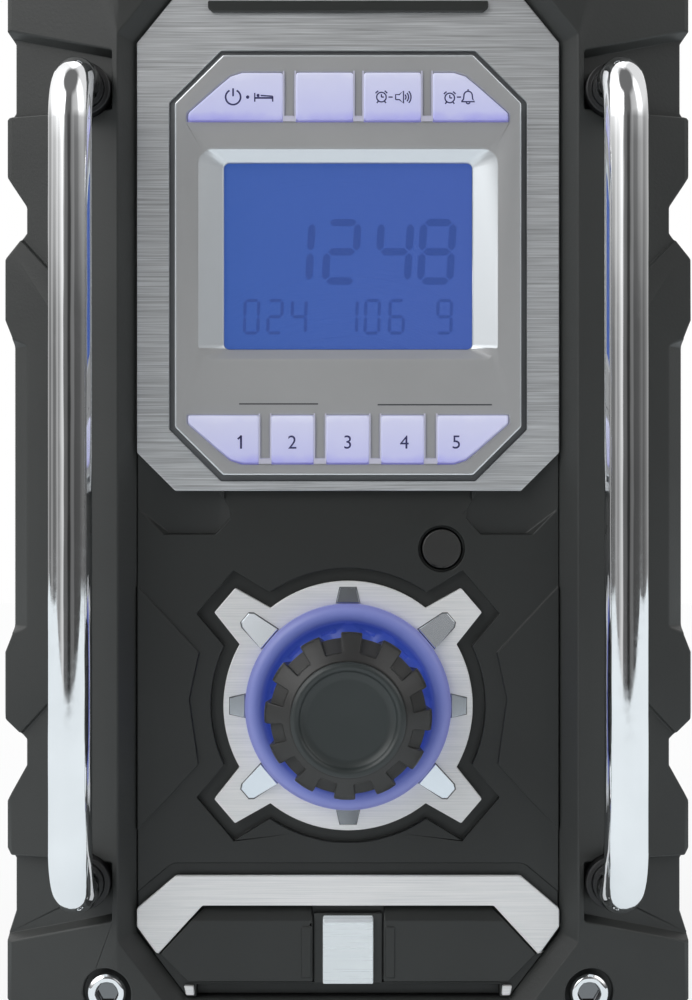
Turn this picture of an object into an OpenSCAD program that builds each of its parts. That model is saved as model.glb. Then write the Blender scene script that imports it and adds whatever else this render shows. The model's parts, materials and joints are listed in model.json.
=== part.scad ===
// Jobsite radio: rubber-armoured case with a narrow control front, side-firing
// speakers, chromed guard bars, a folding carrying handle and a rear battery bay.
// Front faces -Y, the feet stand on Z = 0, and X = Y = 0 is the middle of the case.

/* [Case] */
// Width over the bumpers
overall_w = 167.4; // [165:0.2:170]
// Depth over the bumpers, without the guard bars
body_d = 208; // [204:1:216]
// Height of the body above its feet
body_h = 268; // [266:1:276]
// Height that the rubber feet stand out
foot_h = 4; // [3:0.5:6]
// Thickness of the rubber bumpers over the housing
bumper_t = 6; // [5.6:0.2:7]
// Wall of the moulded housing
wall = 3; // [2.5:0.25:3.5]
// Slope of the front and rear beside the control column, in degrees
front_slope = 20; // [16:1:24]
// Length of the valley under the carrying handle
valley_l = 132; // [128:1:138]
// Depth of that valley below the top
valley_depth = 28; // [26:1:30]

/* [Bumper steps] */
// Height above and below the middle at which the deep side grooves run
groove_z = 65; // [64:0.5:66]
// Floor height of a deep side groove
groove_l = 6.4; // [5:0.2:7]
// Depth of a deep side groove
groove_depth = 5.2; // [4:0.2:5.2]
// Length of the shallow step between the mid pads' ends
mid_step_l = 72.4; // [69:0.2:74]
// Depth of the shallow side steps
step_depth = 1.8; // [1.2:0.1:2.4]
// Distance of the bar pockets' inner edges above and below the middle of the body
pocket_z = 90.5; // [89:0.5:92]
// How far the mid pads stand proud of the front
pad_h = 2.4; // [2:0.1:3]
// Half width at which the mid pads' raised faces begin
pad_x = 71.7; // [70:0.1:73]

/* [Control column] */
// Width of the column's mouth between the bumpers
column_w = 110.4; // [109:0.2:112]
// How far the control panel lies behind the front
column_depth = 5; // [4.5:0.25:6]
// Slope width of the column's edge
column_bevel = 4; // [3.5:0.25:4.5]
// Thickness of the control panel
panel_t = 4; // [3.6:0.1:4.4]
// Thickness of the brushed metal trims
trim_t = 1.5; // [1.2:0.1:1.8]

/* [Display] */
// Width of the silver display housing
display_w = 83.4; // [82:0.2:84]
// Height of the silver display housing
display_h = 101; // [100:0.2:102]
// Size of the cut corners of the display housing
display_cut = 11.6; // [10.5:0.2:12.5]
// Height of the display housing's middle, as a share of the column's height
display_share = 0.7187; // [0.714:0.0001:0.723]
// Width of the LCD window
window_w = 60; // [56:0.5:62]
// Height of the LCD window
window_h = 45; // [43:0.5:46]
// Height that the keys stand proud of the display housing
key_proud = 0.8; // [0.4:0.1:1.2]
// Travel of the keys
key_travel = 1; // [0.6:0.1:1.2]

/* [Dial and knob] */
// Radius of the brushed dial plate
dial_r = 30.2; // [29.6:0.1:31]
// Height of the dial centre, as a share of the column's height
dial_share = 0.2968; // [0.294:0.0001:0.3]
// Reach of the dial plate's four lugs
lug_reach = 39.3; // [38:0.1:40]
// Outer radius of the light ring
ring_r = 24.8; // [24.4:0.1:25.4]
// Outer radius of the knob's teeth, where they are widest
knob_r = 19.4; // [18.6:0.1:19.6]
// Height of the knob without its cap
knob_h = 24.5; // [20:0.5:25]
// Number of teeth round the knob
knob_teeth = 12; // [10:1:14]
// Radius of the encoder shaft
shaft_r = 3; // [2.5:0.1:3.5]
// Radius of the info key
info_r = 4.7; // [4.2:0.1:5]

/* [Guard bars] */
// Depth over the guard bars, front to rear
overall_d = 261; // [256:1:266]
// Radius of a guard bar
bar_r = 5; // [4.5:0.1:5.2]
// Distance of a guard bar from the middle
bar_x = 63.3; // [62.8:0.1:64]
// Distance of a bar's legs above and below the middle of the body
bar_leg_z = 95; // [94:0.5:96]
// Bend radius of a bar, to its middle
bar_bend = 12; // [11:0.5:13]

/* [Speakers] */
// Width across the octagonal speaker grille
grille_w = 112; // [108:1:114]
// Size of the grille's cut corners
grille_cut = 33; // [30:1:35]
// Distance from hole to hole of the grille
grille_pitch = 6.5; // [6.3:0.1:7.5]
// Width of a hexagonal grille hole
grille_hole = 4.8; // [4:0.1:5.2]
// Radius of the speaker opening in its baffle
speaker_r = 40; // [38:0.5:42]

/* [Handle and antenna] */
// Height of the raised handle above its pivots
handle_h = 42; // [41:0.5:46]
// Width of the handle's sleeve
grip_w = 20; // [18:0.5:21]
// Height of the handle's sleeve
grip_h = 16; // [15:0.5:17]
// Radius of the antenna rod
rod_r = 3; // [2.5:0.1:3.2]

/* [Battery bay] */
// Inner width of the battery bay
bay_w = 80; // [78:1:84]
// Inner height of the battery bay
bay_h = 116; // [112:1:118]
// Inner depth of the battery bay
bay_d = 54; // [50:1:56]
// Thickness of the battery door
door_t = 4.2; // [3.8:0.1:4.4]

/* [Clearances] */
// Gap round the trims and covers set into the column
fit_gap = 0.15; // [0.1:0.05:0.25]
// Gap round the keys
key_gap = 0.35; // [0.3:0.05:0.45]
// Running clearance of shafts and pins, on the radius
run_gap = 0.05; // [0.03:0.01:0.08]
// Gap between moving pieces and what they pass
move_gap = 0.4; // [0.35:0.05:0.5]

/* [Hidden] */
$fn = 48;
eps = 0.01;
far = 400;
mid_z = foot_h + body_h / 2;
top_z = foot_h + body_h;
valley_z = top_z - valley_depth;
face_y = -body_d / 2;              // front of the bumper beside the column
core_y = face_y + bumper_t;        // front of the housing
panel_y = face_y + column_depth;   // front of the control panel
panel_back = panel_y + panel_t;
trim_y = panel_y - trim_t;         // front of the brushed trims
core_x = overall_w / 2 - bumper_t; // side of the housing
wall_x = core_x - wall;            // inside of the housing's side
slope_run = overall_w / 2 - column_w / 2;

// the column's cut corners
column_low = foot_h + 6;
column_high = top_z - 10;
column_low_cut = [14.2, 18.6];
column_high_cut = [12.6, 15.5];
panel_edge = column_w / 2 - column_bevel - fit_gap; // side of the control panel

// the display housing, its skirt and its keys
display_mid = column_low + display_share * (column_high - column_low);
display_y = panel_y - 3.5;
display_wall = 3;
skirt_t = 1.6;
display_groove = 1.5;
flange_t = 1.6;
dish_depth = 2.5;
dish_w = 6;
window_r = 1.3;
lens_t = 0.8;
window_mid = display_mid + 2.4;
keys_high = [display_mid + 34.7, display_mid + 46.1];
keys_low = [display_mid - 47.6, display_mid - 36.3];
key_flange = 1;
key_flange_t = 0.8;
key_back = display_y + display_wall + 0.2;
board_y = key_back + key_flange_t + key_travel + 0.3;
board_t = 1.6;

// the dial, the light ring and the knob
dial_z = column_low + dial_share * (column_high - column_low);
lug_angle = 40.5;
lug_neck = 10.6;
lug_end = 7.7;
pocket_gap = 3.1;
pocket_depth = 2;
dial_t = 2.6;
dial_y = panel_y + pocket_depth - dial_t;
ring_h = 5;
ring_floor_h = 1.2;
ring_rim_w = 4;
knob_gap = 1.2;
knob_y = dial_y - ring_floor_h - knob_gap;
cap_h = 2.6;
cap_r = 13.1;
flare = 2;                         // how much narrower the teeth are at the back
slot_depth = 1.3;
slot_in = 15;                      // radius at which the slots between the teeth end
encoder_w = 14;
encoder_t = 10;
info_at = [22.7, dial_z + 38];
info_well = 0.9;

// the ports at the foot of the column
port_z = [foot_h + 13.9, foot_h + 32.2];
port_mid = (port_z[0] + port_z[1]) / 2 + 0.1;
port_tip = panel_edge - 5.3;       // reach of the bay's pointed ends
cover_chamfer = 3.2;
port_x = 26;
cover_t = 3;
trim_high = foot_h + 39.8;
cover_y = trim_y - 0.3;
bay_floor = cover_y + cover_t;
hinge_x = 8.6;
anchor_x = hinge_x - move_gap;
plug_r = 5;

// guard bars, bolts and what they enter
bar_y = -overall_d / 2 + bar_r;
leg_end = face_y + 16;
socket_r = bar_r + 4;
bush_r = bar_r + 1.4;
channel_floor = 3;                 // depth of the channels that the bars are rooted in
bolt_at = [[58, foot_h + 12], [58, top_z - 9.5]];
bolt_r = 2.5;
bolt_head_r = 4.7;
bolt_head_h = 4;
bolt_bore_r = 6;

// feet and the posts under the main board
foot_at = [core_x - 25.7, body_d / 2 - 28];
foot_r = 9;
post_h = 10;

// speakers
speaker_z = mid_z;
baffle_lip = 5;
speaker_depth = 34;
magnet_r = 28;

// handle
pivot_z = valley_z + 12;
overall_h = pivot_z + handle_h;
pivot_r = 4;
hub_r = 10;
arm_t = 12;
arm_w = 14;
arm_y = valley_l / 2 - move_gap;   // outer face of the handle's arms
beam_h = 11;
beam_top = overall_h - (grip_h - beam_h) / 2;
sleeve_l = 86;

// antenna, folded flat in its channel
antenna_x = core_x - 15.7;
antenna_z = top_z - 5;
channel_w = 8;
channel_depth = 10;
antenna_hub_r = 3.8;
antenna_hub_y = 84;
antenna_pin_r = 1.5;
rod_end = -86;

// rear: bay, door and latch
bay_wall = 2.5;
bay_low = foot_h + 22;
bay_high = bay_low + bay_h;
rear_y = -core_y;                  // rear surface of the housing
door_low = foot_h + 18;
door_high = bay_high + 8;
door_w = 94;
door_gap = 0.5;
door_y = rear_y + door_gap;        // inner face of the door
door_back = door_y + door_t;
door_pin_r = 1.5;
knuckle_r = 3.2;
door_axis = [door_back - 0.4, door_low + 1.2];
knuckle_x = [25, 33];               // the door's knuckles
ear_x = [33.4, 40];                // the ears beside them
latch_w = 30;
latch_h = 22;
latch_travel = 3.5;
latch_top = door_high - 10;         // top of the slide when it is unlocked
tongue_w = 12;
tongue_t = 2;
socket_at = [-30, mid_z + 44];

// ---- helpers: outlines are drawn as seen from the front, the top or the right side

// carries a front view outline (x, z) from y0 back to y1
module slab_y(y0, y1) {
    translate([0, y1, 0]) rotate([90, 0, 0]) linear_extrude(y1 - y0) children();
}

// carries a side view outline (y, z) from x0 to x1
module slab_x(x0, x1) {
    translate([x0, 0, 0]) rotate([90, 0, 90]) linear_extrude(x1 - x0) children();
}

// carries a plan outline (x, y) from z0 to z1
module slab_z(z0, z1) {
    translate([0, 0, z0]) linear_extrude(z1 - z0) children();
}

// turns a half section (radius, height) about an axis that points out of the front
module turned_y(x, y, z) {
    translate([x, y, z]) rotate([90, 0, 0]) rotate_extrude($fn = 96) children();
}

// round bar or bore along Y
module rod_y(x, z, r, y0, y1) {
    translate([x, y1, z]) rotate([90, 0, 0]) cylinder(r = r, h = y1 - y0, $fn = 48);
}

// round bar or bore along X
module rod_x(y, z, r, x0, x1) {
    translate([x0, y, z]) rotate([0, 90, 0]) cylinder(r = r, h = x1 - x0, $fn = 48);
}

// the right piece and its mirror image on the left
module both_sides() {
    for (side = [0, 1]) mirror([side, 0, 0]) children();
}

// the front piece and its mirror image at the rear
module both_ends() {
    for (end = [0, 1]) mirror([0, end, 0]) children();
}

// a half outline and its mirror image about the vertical axis
function mirrored(half) =
    concat(half, [for (i = [len(half) - 1:-1:0]) [-half[i][0], half[i][1]]]);

// a rectangle about a centre
module panel_rect(centre, size) {
    translate(centre) square(size, center = true);
}

// a rectangle with cut corners about a centre
module octagon(size, cut) {
    w = size[0] / 2;
    h = size[1] / 2;
    polygon(mirrored([[w - cut, -h], [w, cut - h], [w, h - cut], [w - cut, h]]));
}

// ---- case outlines

// one step in the side: its floor from low to high, and the slopes below and above it
function side_step(x, low, high, depth, ramps) = [
    [x, low - ramps[0]], [x - depth, low], [x - depth, high], [x, high + ramps[1]]];

module front_outline(inset, stepped) {
    x = overall_w / 2 - inset;
    low_groove = mid_z - groove_z;
    high_groove = mid_z + groove_z;
    steps = concat(
        side_step(x, mid_z - pocket_z - 14.2, mid_z - pocket_z - 1.2, step_depth, [5.4, 2.7]),
        side_step(x, low_groove - groove_l / 2, low_groove + groove_l / 2, groove_depth,
            [9, 5]),
        side_step(x, mid_z - mid_step_l / 2, mid_z + mid_step_l / 2, step_depth, [4.3, 4.3]),
        side_step(x, high_groove - groove_l / 2, high_groove + groove_l / 2, groove_depth,
            [6.6, 7.6]),
        side_step(x, mid_z + pocket_z + 1.5, mid_z + pocket_z + 18.5, step_depth, [2.2, 2.7]));
    polygon(mirrored(concat(
        [[x - 5, foot_h], [x, foot_h + 8]],
        stepped ? steps : [],
        [[x, top_z - 14], [x - 11.5, top_z]])));
}

module side_outline(inset) {
    y = body_d / 2 - inset;
    v = valley_l / 2;
    polygon(mirrored([
        [y - 5, foot_h], [y, foot_h + 5], [y, top_z - 6], [y - 6, top_z],
        [v + 7, top_z], [v, top_z - 9], [v, valley_z]]));
}

module plan_outline(inset) {
    x = overall_w / 2 - inset;
    y = body_d / 2 - inset;
    edge = 1.2;
    drop = (x - edge - column_w / 2) * tan(front_slope);
    half = [[column_w / 2, -y], [x - edge, drop - y], [x, drop + edge - y]];
    polygon(mirrored(concat(half, [for (i = [2:-1:0]) [half[i][0], -half[i][1]]])));
}

// the housing's outer form, or its hollow when shrunk by the wall
module core_form(shrink) {
    intersection() {
        slab_y(-body_d, body_d) offset(delta = -shrink) front_outline(bumper_t, false);
        slab_z(0, far) offset(delta = -shrink) plan_outline(bumper_t);
        slab_x(-overall_w, overall_w) offset(delta = -shrink) side_outline(bumper_t);
    }
}

// mouth of the control column, drawn in by inset
module column(inset) {
    offset(delta = -inset) polygon(mirrored([
        [column_w / 2 - column_low_cut[0], column_low],
        [column_w / 2, column_low + column_low_cut[1]],
        [column_w / 2, column_high - column_high_cut[1]],
        [column_w / 2 - column_high_cut[0], column_high]]));
}

// speaker window in the side, wider or narrower by grow
module side_window(grow) {
    translate([0, speaker_z])
        octagon([grille_w + 2 * grow, grille_w + 2 * grow], grille_cut + 0.586 * grow);
}

// ---- bumpers

// local frame on the sloping face of the right front: x along it, -y out of it
module on_slope() {
    translate([column_w / 2, face_y, 0]) rotate([0, 0, front_slope]) children();
}

// raised pad that guards the middle of a front corner
module mid_pad() {
    bevel = 6;
    base = (pad_x - column_w / 2) / cos(front_slope);
    on_slope() intersection() {
        hull() {
            slab_y(-1, 1) offset(delta = bevel) pad_outline(base);
            slab_y(-pad_h, 1) pad_outline(base);
        }
        slab_y(-pad_h, far) square([far, 2 * far], center = true);
    }
}

module pad_outline(base) {
    half = mid_step_l / 2 + 7.2;
    reach = slope_run + 12;
    polygon([[base, mid_z - half], [reach, mid_z - half - reach + base],
        [reach, mid_z + half + reach - base], [base, mid_z + half]]);
}

// long chamfer on the outer corner between the pad's ends
module corner_chamfer() {
    half = mid_step_l / 2 - 2;
    x = overall_w / 2 - step_depth;
    y = face_y + (x - column_w / 2) * tan(front_slope) - pad_h / cos(front_slope);
    cut = 4;
    slant = 3.6;
    hull() for (step = [0, 1])
        translate([step * cut, -step * cut, 0])
            slab_z(mid_z - half - step * slant, mid_z + half + step * slant)
                polygon([[x - cut, y - 6], [x - cut, y - 1.4], [x, y + cut], [x + 9, y + cut]]);
}

// channel across the sloping face in which a bar is rooted: its inner edge runs level,
// its outer edge slants away (up when side is 1, down when it is -1) and is chamfered
module bar_channel(side) {
    near = mid_z + side * pocket_z;
    start = 1.6;
    length = 12.6;
    slant = 14;
    on_slope() intersection() {
        slab_x(start, far) polygon([[-far, near], [channel_floor, near],
            [channel_floor, near + side * far], [-far, near + side * far]]);
        translate([start, 0, near + side * length]) rotate([0, -side * slant, 0])
            slab_x(-far, far) polygon([[channel_floor, -side * far], [channel_floor, 0],
                [-far, side * far / 2], [-far, -side * far]]);
    }
}

module bumper() {
    difference() {
        intersection() {
            slab_y(-body_d, 0) front_outline(0, true);
            union() {
                intersection() {
                    slab_z(0, far) plan_outline(0);
                    slab_x(-far, far) side_outline(0);
                }
                both_sides() mid_pad();
            }
        }
        core_form(0);
        hull() {
            slab_y(face_y - 1, face_y) column(0);
            slab_y(panel_y, panel_y + eps) column(column_bevel);
        }
        slab_y(panel_y, core_y + 1) column(column_bevel + fit_gap / 2);
        both_sides() {
            corner_chamfer();
            for (side = [-1, 1]) bar_channel(side);
            hull() {
                slab_x(core_x, core_x + 1) side_window(1);
                slab_x(overall_w / 2 - 0.5, far) side_window(4);
            }
            for (z = [mid_z - bar_leg_z, mid_z + bar_leg_z]) {
                rod_y(bar_x, z, bar_r + run_gap, -far, 0);
                difference() {
                    rod_y(bar_x, z, bush_r + run_gap, -far, core_y);
                    behind_channel();
                }
            }
            for (at = bolt_at) {
                rod_y(at[0], at[1], bolt_r + run_gap, -far, 0);
                rod_y(at[0], at[1], bolt_bore_r, -far, bolt_seat());
            }
        }
    }
}

// depth at which the bolt heads seat, below the sloping face
function bolt_seat() = face_y + 5;

module front_bumper() { color([0.16, 0.165, 0.165]) bumper(); }

module rear_bumper() { color([0.16, 0.165, 0.165]) mirror([0, 1, 0]) bumper(); }

// ---- housings

// front half shell with what both halves share; the rear half is its mirror image
module half_shell() {
    difference() {
        union() {
            difference() {
                core_form(0);
                core_form(wall);
            }
            intersection() {
                core_form(0);
                union() {
                    both_sides() {
                        for (z = [mid_z - bar_leg_z, mid_z + bar_leg_z])
                            rod_y(bar_x, z, socket_r, face_y, leg_end + 2);
                        for (at = bolt_at) rod_y(at[0], at[1], 6, face_y, leg_end);
                    }
                    rod_y(0, pivot_z, pivot_r + 4, -valley_l / 2 - 9, -valley_l / 2);
                    for (x = [-column_w / 2 + 10, column_w / 2 - 10])
                        translate([x, -body_d / 4 + 7, foot_h]) cylinder(r = 4, h = post_h);
                }
            }
        }
        slab_y(-eps, far) square(3 * far, center = true);
        slab_x(-far, far) side_window(-1);
        both_sides() {
            for (z = [mid_z - bar_leg_z, mid_z + bar_leg_z])
                rod_y(bar_x, z, bar_r + run_gap, face_y - 1, leg_end);
            for (at = bolt_at) rod_y(at[0], at[1], bolt_r + run_gap, face_y, leg_end - 2);
        }
        rod_y(0, pivot_z, pivot_r + run_gap, -valley_l / 2 - 8, -valley_l / 2 + 1);
    }
}

// walls that line the antenna's channel in one shoulder
module channel_lining(y0, y1) {
    intersection() {
        core_form(0);
        translate([antenna_x - channel_w / 2 - wall, y0, antenna_z - channel_depth / 2 - wall])
            cube([channel_w + 2 * wall, y1 - y0, far]);
    }
}

module channel(y0, y1) {
    translate([antenna_x - channel_w / 2, y0, antenna_z - channel_depth / 2])
        cube([channel_w, y1 - y0, far]);
}

module front_housing() {
    color([0.13, 0.13, 0.135]) difference() {
        union() {
            half_shell();
            channel_lining(rod_end - 5, -valley_l / 2);
            slab_y(panel_back, panel_back + wall) difference() {
                column(column_bevel - 1);
                column(column_bevel + 4);
            }
        }
        slab_y(face_y, panel_back) column(column_bevel);
        slab_y(face_y, panel_back + wall + 1) column(column_bevel + 4);
        channel(rod_end - 2, -valley_l / 2 + 1);
    }
}

module rear_housing() {
    color([0.13, 0.13, 0.135]) difference() {
        union() {
            mirror([0, 1, 0]) half_shell();
            channel_lining(valley_l / 2, antenna_hub_y + 6.5);
            latch_keeper();
            door_ears();
        }
        channel(valley_l / 2 - 1, antenna_hub_y + 4.5);
        rod_x(antenna_hub_y, antenna_z, antenna_pin_r + run_gap,
            antenna_x - channel_w / 2 - wall + 0.6, antenna_x + channel_w / 2 + wall - 0.6);
        slab_y(0, rear_y + 1) panel_rect([0, (bay_low + bay_high) / 2], [bay_w, bay_h]);
        rod_y(socket_at[0], socket_at[1], 5.5, rear_y - wall - 1, rear_y + 1);
    }
}

// raised keeper above the battery door, slotted for the latch's tongue
module latch_keeper() {
    low = door_high + door_gap;
    difference() {
        slab_x(-tongue_w, tongue_w) polygon([
            [rear_y, low], [door_back, low], [door_back, low + 5], [rear_y, low + 9]]);
        translate([-tongue_w / 2 - 0.4, latch_mid() - tongue_t / 2 - 0.3, low - 1])
            cube([tongue_w + 0.8, tongue_t + 0.6, latch_travel + 1.5]);
    }
}

function latch_mid() = door_back - 2;

// ears beside the door's knuckles, which hold the hinge pins
module door_ears() {
    both_sides() difference() {
        union() {
            rod_x(door_axis[0], door_axis[1], knuckle_r, ear_x[0], ear_x[1]);
            translate([ear_x[0], rear_y - 0.5, door_axis[1] - knuckle_r])
                cube([ear_x[1] - ear_x[0], door_axis[0] - rear_y + 0.5, 2 * knuckle_r]);
        }
        rod_x(door_axis[0], door_axis[1], door_pin_r + run_gap, ear_x[0] - 1, ear_x[1] - 1);
    }
}

// ---- control column

// outline of the dial plate with its four lugs, wider by grow
module dial_outline(grow) {
    circle(r = dial_r + grow, $fn = 96);
    for (a = [lug_angle, 180 - lug_angle, 180 + lug_angle, -lug_angle])
        rotate(a) polygon([
            [dial_r - 6, -lug_neck / 2 - grow - 1.5], [lug_reach + grow, -lug_end / 2 - grow],
            [lug_reach + grow, lug_end / 2 + grow], [dial_r - 6, lug_neck / 2 + grow + 1.5]]);
}

// raised flank of the panel beside the dial, with its kinked inner crease
module flank() {
    edge = panel_edge;
    polygon([[edge, dial_z + 29], [edge - 5, dial_z + 23.7], [edge - 15, dial_z + 12.9],
        [edge - 12.6, dial_z + 1.6], [edge - 14.8, dial_z - 14.2],
        [edge - 6.5, dial_z - 23.3], [edge, dial_z - 30]]);
}

// cut corners of the bay under the brushed arch
module port_bay(grow) {
    low = port_z[0] - grow;
    high = port_z[1] + 0.2 + grow;
    tip = port_tip + grow;
    polygon(mirrored([[tip - 7, low], [tip, low + 7.1], [tip - 10.7, high]]));
}

module control_panel() {
    lip = 3;
    color([0.2, 0.208, 0.205]) difference() {
        union() {
            slab_y(panel_y, panel_back) column(column_bevel + fit_gap);
            both_sides() slab_y(panel_y - 0.8, panel_y + 1) flank();
        }
        slab_y(-far, 0) display_outline(display_groove);
        slab_y(-far, panel_y + pocket_depth)
            translate([0, dial_z]) dial_outline(pocket_gap);
        rod_y(0, dial_z, 5 + run_gap, -far, 0);
        slab_y(-far, bay_floor) port_bay(0);
        for (x = [-port_x, port_x]) rod_y(x, port_mid, plug_r + 0.5, -far, 0);
        rod_y(info_at[0], info_at[1], info_r + key_gap, -far, 0);
        rod_y(info_at[0], info_at[1], info_r + info_well, -far, panel_y + 1);
        both_sides() plate_pocket();
        chamfer_under_plate();
        // shallow border above the arched trim
        slab_y(-far, panel_y + 0.8) difference() {
            trim_outline(2.8);
            trim_outline(-0.5);
            port_bay(1);
            panel_rect([0, port_z[0]], [2 * far, 14]);
        }
        // slot below the covers
        slab_y(-far, panel_y + lip)
            panel_rect([0, port_z[0] - 0.7 - lip], [2 * (port_tip - 9), 2 * lip]);
    }
}

// pocket under a lower corner of the brushed plate: a level floor with slanting sides
module plate_pocket() {
    plate_low = plate_bottom();
    low = plate_low - 10.6;
    hull() {
        slab_y(panel_y - eps, panel_y) polygon([
            [27.5, plate_low - 5.5], [32.2, low], [44.8, low], [panel_edge, low + 6.4],
            [panel_edge, plate_low + 9], [32.2, plate_low + 1]]);
        slab_y(panel_y, panel_y + 1.8) polygon([
            [32.2, low + 0.3], [43.3, low + 0.3], [43.3, plate_low + 1],
            [32.2, plate_low + 1]]);
    }
}

// long chamfer in the panel between the pockets, which falls towards the plate
module chamfer_under_plate() {
    low = plate_bottom();
    slab_x(-30, 30) polygon([[panel_y - 1, low - 7.5], [panel_y, low - 5.5],
        [panel_y + 1.2, low + 1], [panel_y - 1, low + 1]]);
}

function plate_bottom() = display_mid - display_h / 2 - 3.8;

module brushed_plate() {
    low = plate_bottom();
    cut = 9.3;
    color([0.72, 0.73, 0.735]) slab_y(trim_y, panel_y) difference() {
        intersection() {
            column(column_bevel + fit_gap);
            polygon(mirrored([[panel_edge - cut, low], [panel_edge, low + cut],
                [panel_edge, far]]));
        }
        display_outline(display_groove);
    }
}

module badge_plate() {
    low = column_high - 9.8;
    high = column_high - 7;
    w = display_w / 2 - 7.9;
    color([0.235, 0.24, 0.245]) slab_y(trim_y - 1, trim_y)
        polygon(mirrored([[w - 1.2, low], [w, low + 1], [w, high]]));
}

// ---- display

module display_outline(grow) {
    translate([0, display_mid])
        octagon([display_w + 2 * grow, display_h + 2 * grow], display_cut + 0.586 * grow);
}

module rounded_rect(size, r) {
    offset(r = r, $fn = 32) square([size[0] - 2 * r, size[1] - 2 * r], center = true);
}

// key outlines, from left to right
module end_key_outline(inner, z) {
    low = z[0] < display_mid;
    polygon(low
        ? [[inner, z[0]], [25.4, z[0]], [28.2, z[0] + 0.9], [31, z[0] + 3.2],
           [38.4, z[1] - 1.7], [38.4, z[1]], [inner, z[1]]]
        : [[inner, z[0]], [38.4, z[0]], [38.4, z[0] + 1.7], [31, z[1] - 3.2],
           [28.2, z[1] - 0.9], [25.4, z[1]], [inner, z[1]]]);
}

module key_outline(x0, x1, z) {
    translate([x0, z[0]]) square([x1 - x0, z[1] - z[0]]);
}

// number of each key: four over the display from the left, then the five presets
module key_shape(i) {
    if (i == 0) mirror([1, 0]) end_key_outline(15.7, keys_high);
    if (i == 1) key_outline(-12.5, 1.2, keys_high);
    if (i == 2) key_outline(3.8, 17.5, keys_high);
    if (i == 3) end_key_outline(20.4, keys_high);
    if (i == 4) mirror([1, 0]) end_key_outline(21.5, keys_low);
    if (i == 5) key_outline(-18.4, -8.3, keys_low);
    if (i == 6) key_outline(-5.2, 5, keys_low);
    if (i == 7) key_outline(8, 18.2, keys_low);
    if (i == 8) end_key_outline(21.5, keys_low);
}

module key(i) {
    color([0.79, 0.8, 0.93]) {
        slab_y(display_y - key_proud, key_back) key_shape(i);
        slab_y(key_back, key_back + key_flange_t) offset(delta = key_flange) key_shape(i);
    }
}

module display_housing() {
    color([0.6, 0.605, 0.61]) difference() {
        union() {
            slab_y(display_y, panel_back) display_outline(0);
            slab_y(panel_back, panel_back + flange_t)
                display_outline(display_groove + 1.6);
        }
        slab_y(display_y + display_wall, 0) display_outline(-skirt_t);
        for (i = [0:8]) slab_y(-far, 0) offset(delta = key_gap) key_shape(i);
        translate([0, 0, window_mid]) {
            slab_y(-far, 0) rounded_rect([window_w, window_h], window_r);
            hull() {
                slab_y(display_y - 1, display_y) translate([0, 0.4])
                    rounded_rect([window_w + 2 * dish_w, window_h + dish_w], 3.6);
                slab_y(display_y + dish_depth, display_y + dish_depth + eps)
                    rounded_rect([window_w, window_h], window_r);
            }
        }
    }
}

module display_lens() {
    y = display_y + display_wall;
    color([0.75, 0.85, 0.95, 0.4]) translate([0, 0, window_mid])
        slab_y(y, y + lens_t) square([window_w + 2, window_h + 2], center = true);
}

module lcd_module() {
    y = display_y + display_wall + lens_t;
    color([0.25, 0.36, 0.72]) translate([0, 0, window_mid])
        slab_y(y, board_y) square([window_w + 5, window_h + 3], center = true);
}

// board behind the keys, on four pillars from the display housing's face
module control_board() {
    pillar = [36, 17];
    color([0.1, 0.3, 0.18]) {
        slab_y(board_y, board_y + board_t) display_outline(-skirt_t - 0.2);
        for (x = [-pillar[0], pillar[0]], z = [-pillar[1], pillar[1]])
            rod_y(x, display_mid + z, 1.5, display_y + display_wall, board_y);
    }
}

module power_key() { key(0); }
module source_key() { key(1); }
module radio_alarm_key() { key(2); }
module buzzer_alarm_key() { key(3); }
module preset_key_1() { key(4); }
module preset_key_2() { key(5); }
module preset_key_3() { key(6); }
module preset_key_4() { key(7); }
module preset_key_5() { key(8); }

module info_key() {
    color([0.11, 0.115, 0.12]) {
        rod_y(info_at[0], info_at[1], info_r, panel_y - 0.4, panel_back + 0.3);
        rod_y(info_at[0], info_at[1], info_r + 1.5, panel_back + 0.3, panel_back + 1.2);
    }
}

// ---- dial, ring and knob

module dial_plate() {
    color([0.78, 0.79, 0.8]) slab_y(dial_y, dial_y + dial_t) translate([0, dial_z])
        difference() {
            dial_outline(0);
            circle(r = 5.5);
        }
}

// inserts every 45 degrees, the wide ones on the lugs
module dial_markers() {
    color([0.62, 0.63, 0.64]) slab_y(dial_y - 0.5, dial_y) translate([0, dial_z]) {
        for (a = [0:90:270]) rotate(a)
            polygon([[ring_r + 0.2, -2.8], [ring_r + 3.8, -1.9],
                [ring_r + 3.8, 1.9], [ring_r + 0.2, 2.8]]);
        for (a = [lug_angle, 180 - lug_angle, 180 + lug_angle, -lug_angle]) rotate(a)
            polygon([[ring_r + 0.2, -3.1], [ring_r + 7, -2.2], [ring_r + 8, -1.4],
                [ring_r + 8, 1.4], [ring_r + 7, 2.2], [ring_r + 0.2, 3.1]]);
    }
}

// translucent cup round the knob: floor, sloping inner wall and rounded rim
module light_ring() {
    rim = ring_r - ring_rim_w;
    color([0.42, 0.45, 0.82]) difference() {
        turned_y(0, dial_y, dial_z) polygon([
            [8, 0], [ring_r, 0], [ring_r, ring_h - 2], [ring_r - 0.6, ring_h - 0.6],
            [ring_r - 2, ring_h], [rim + 0.6, ring_h - 0.3], [rim, ring_h - 1],
            [rim - 0.9, ring_floor_h], [8, ring_floor_h]]);
        for (i = [0:knob_teeth - 1]) translate([0, dial_y - ring_floor_h - eps, dial_z])
            rotate([0, (i + 0.5) * 360 / knob_teeth, 0])
                translate([rim - 3, 0, -1.9]) cube([1.1, 0.8, 3.8]);
    }
}

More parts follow.
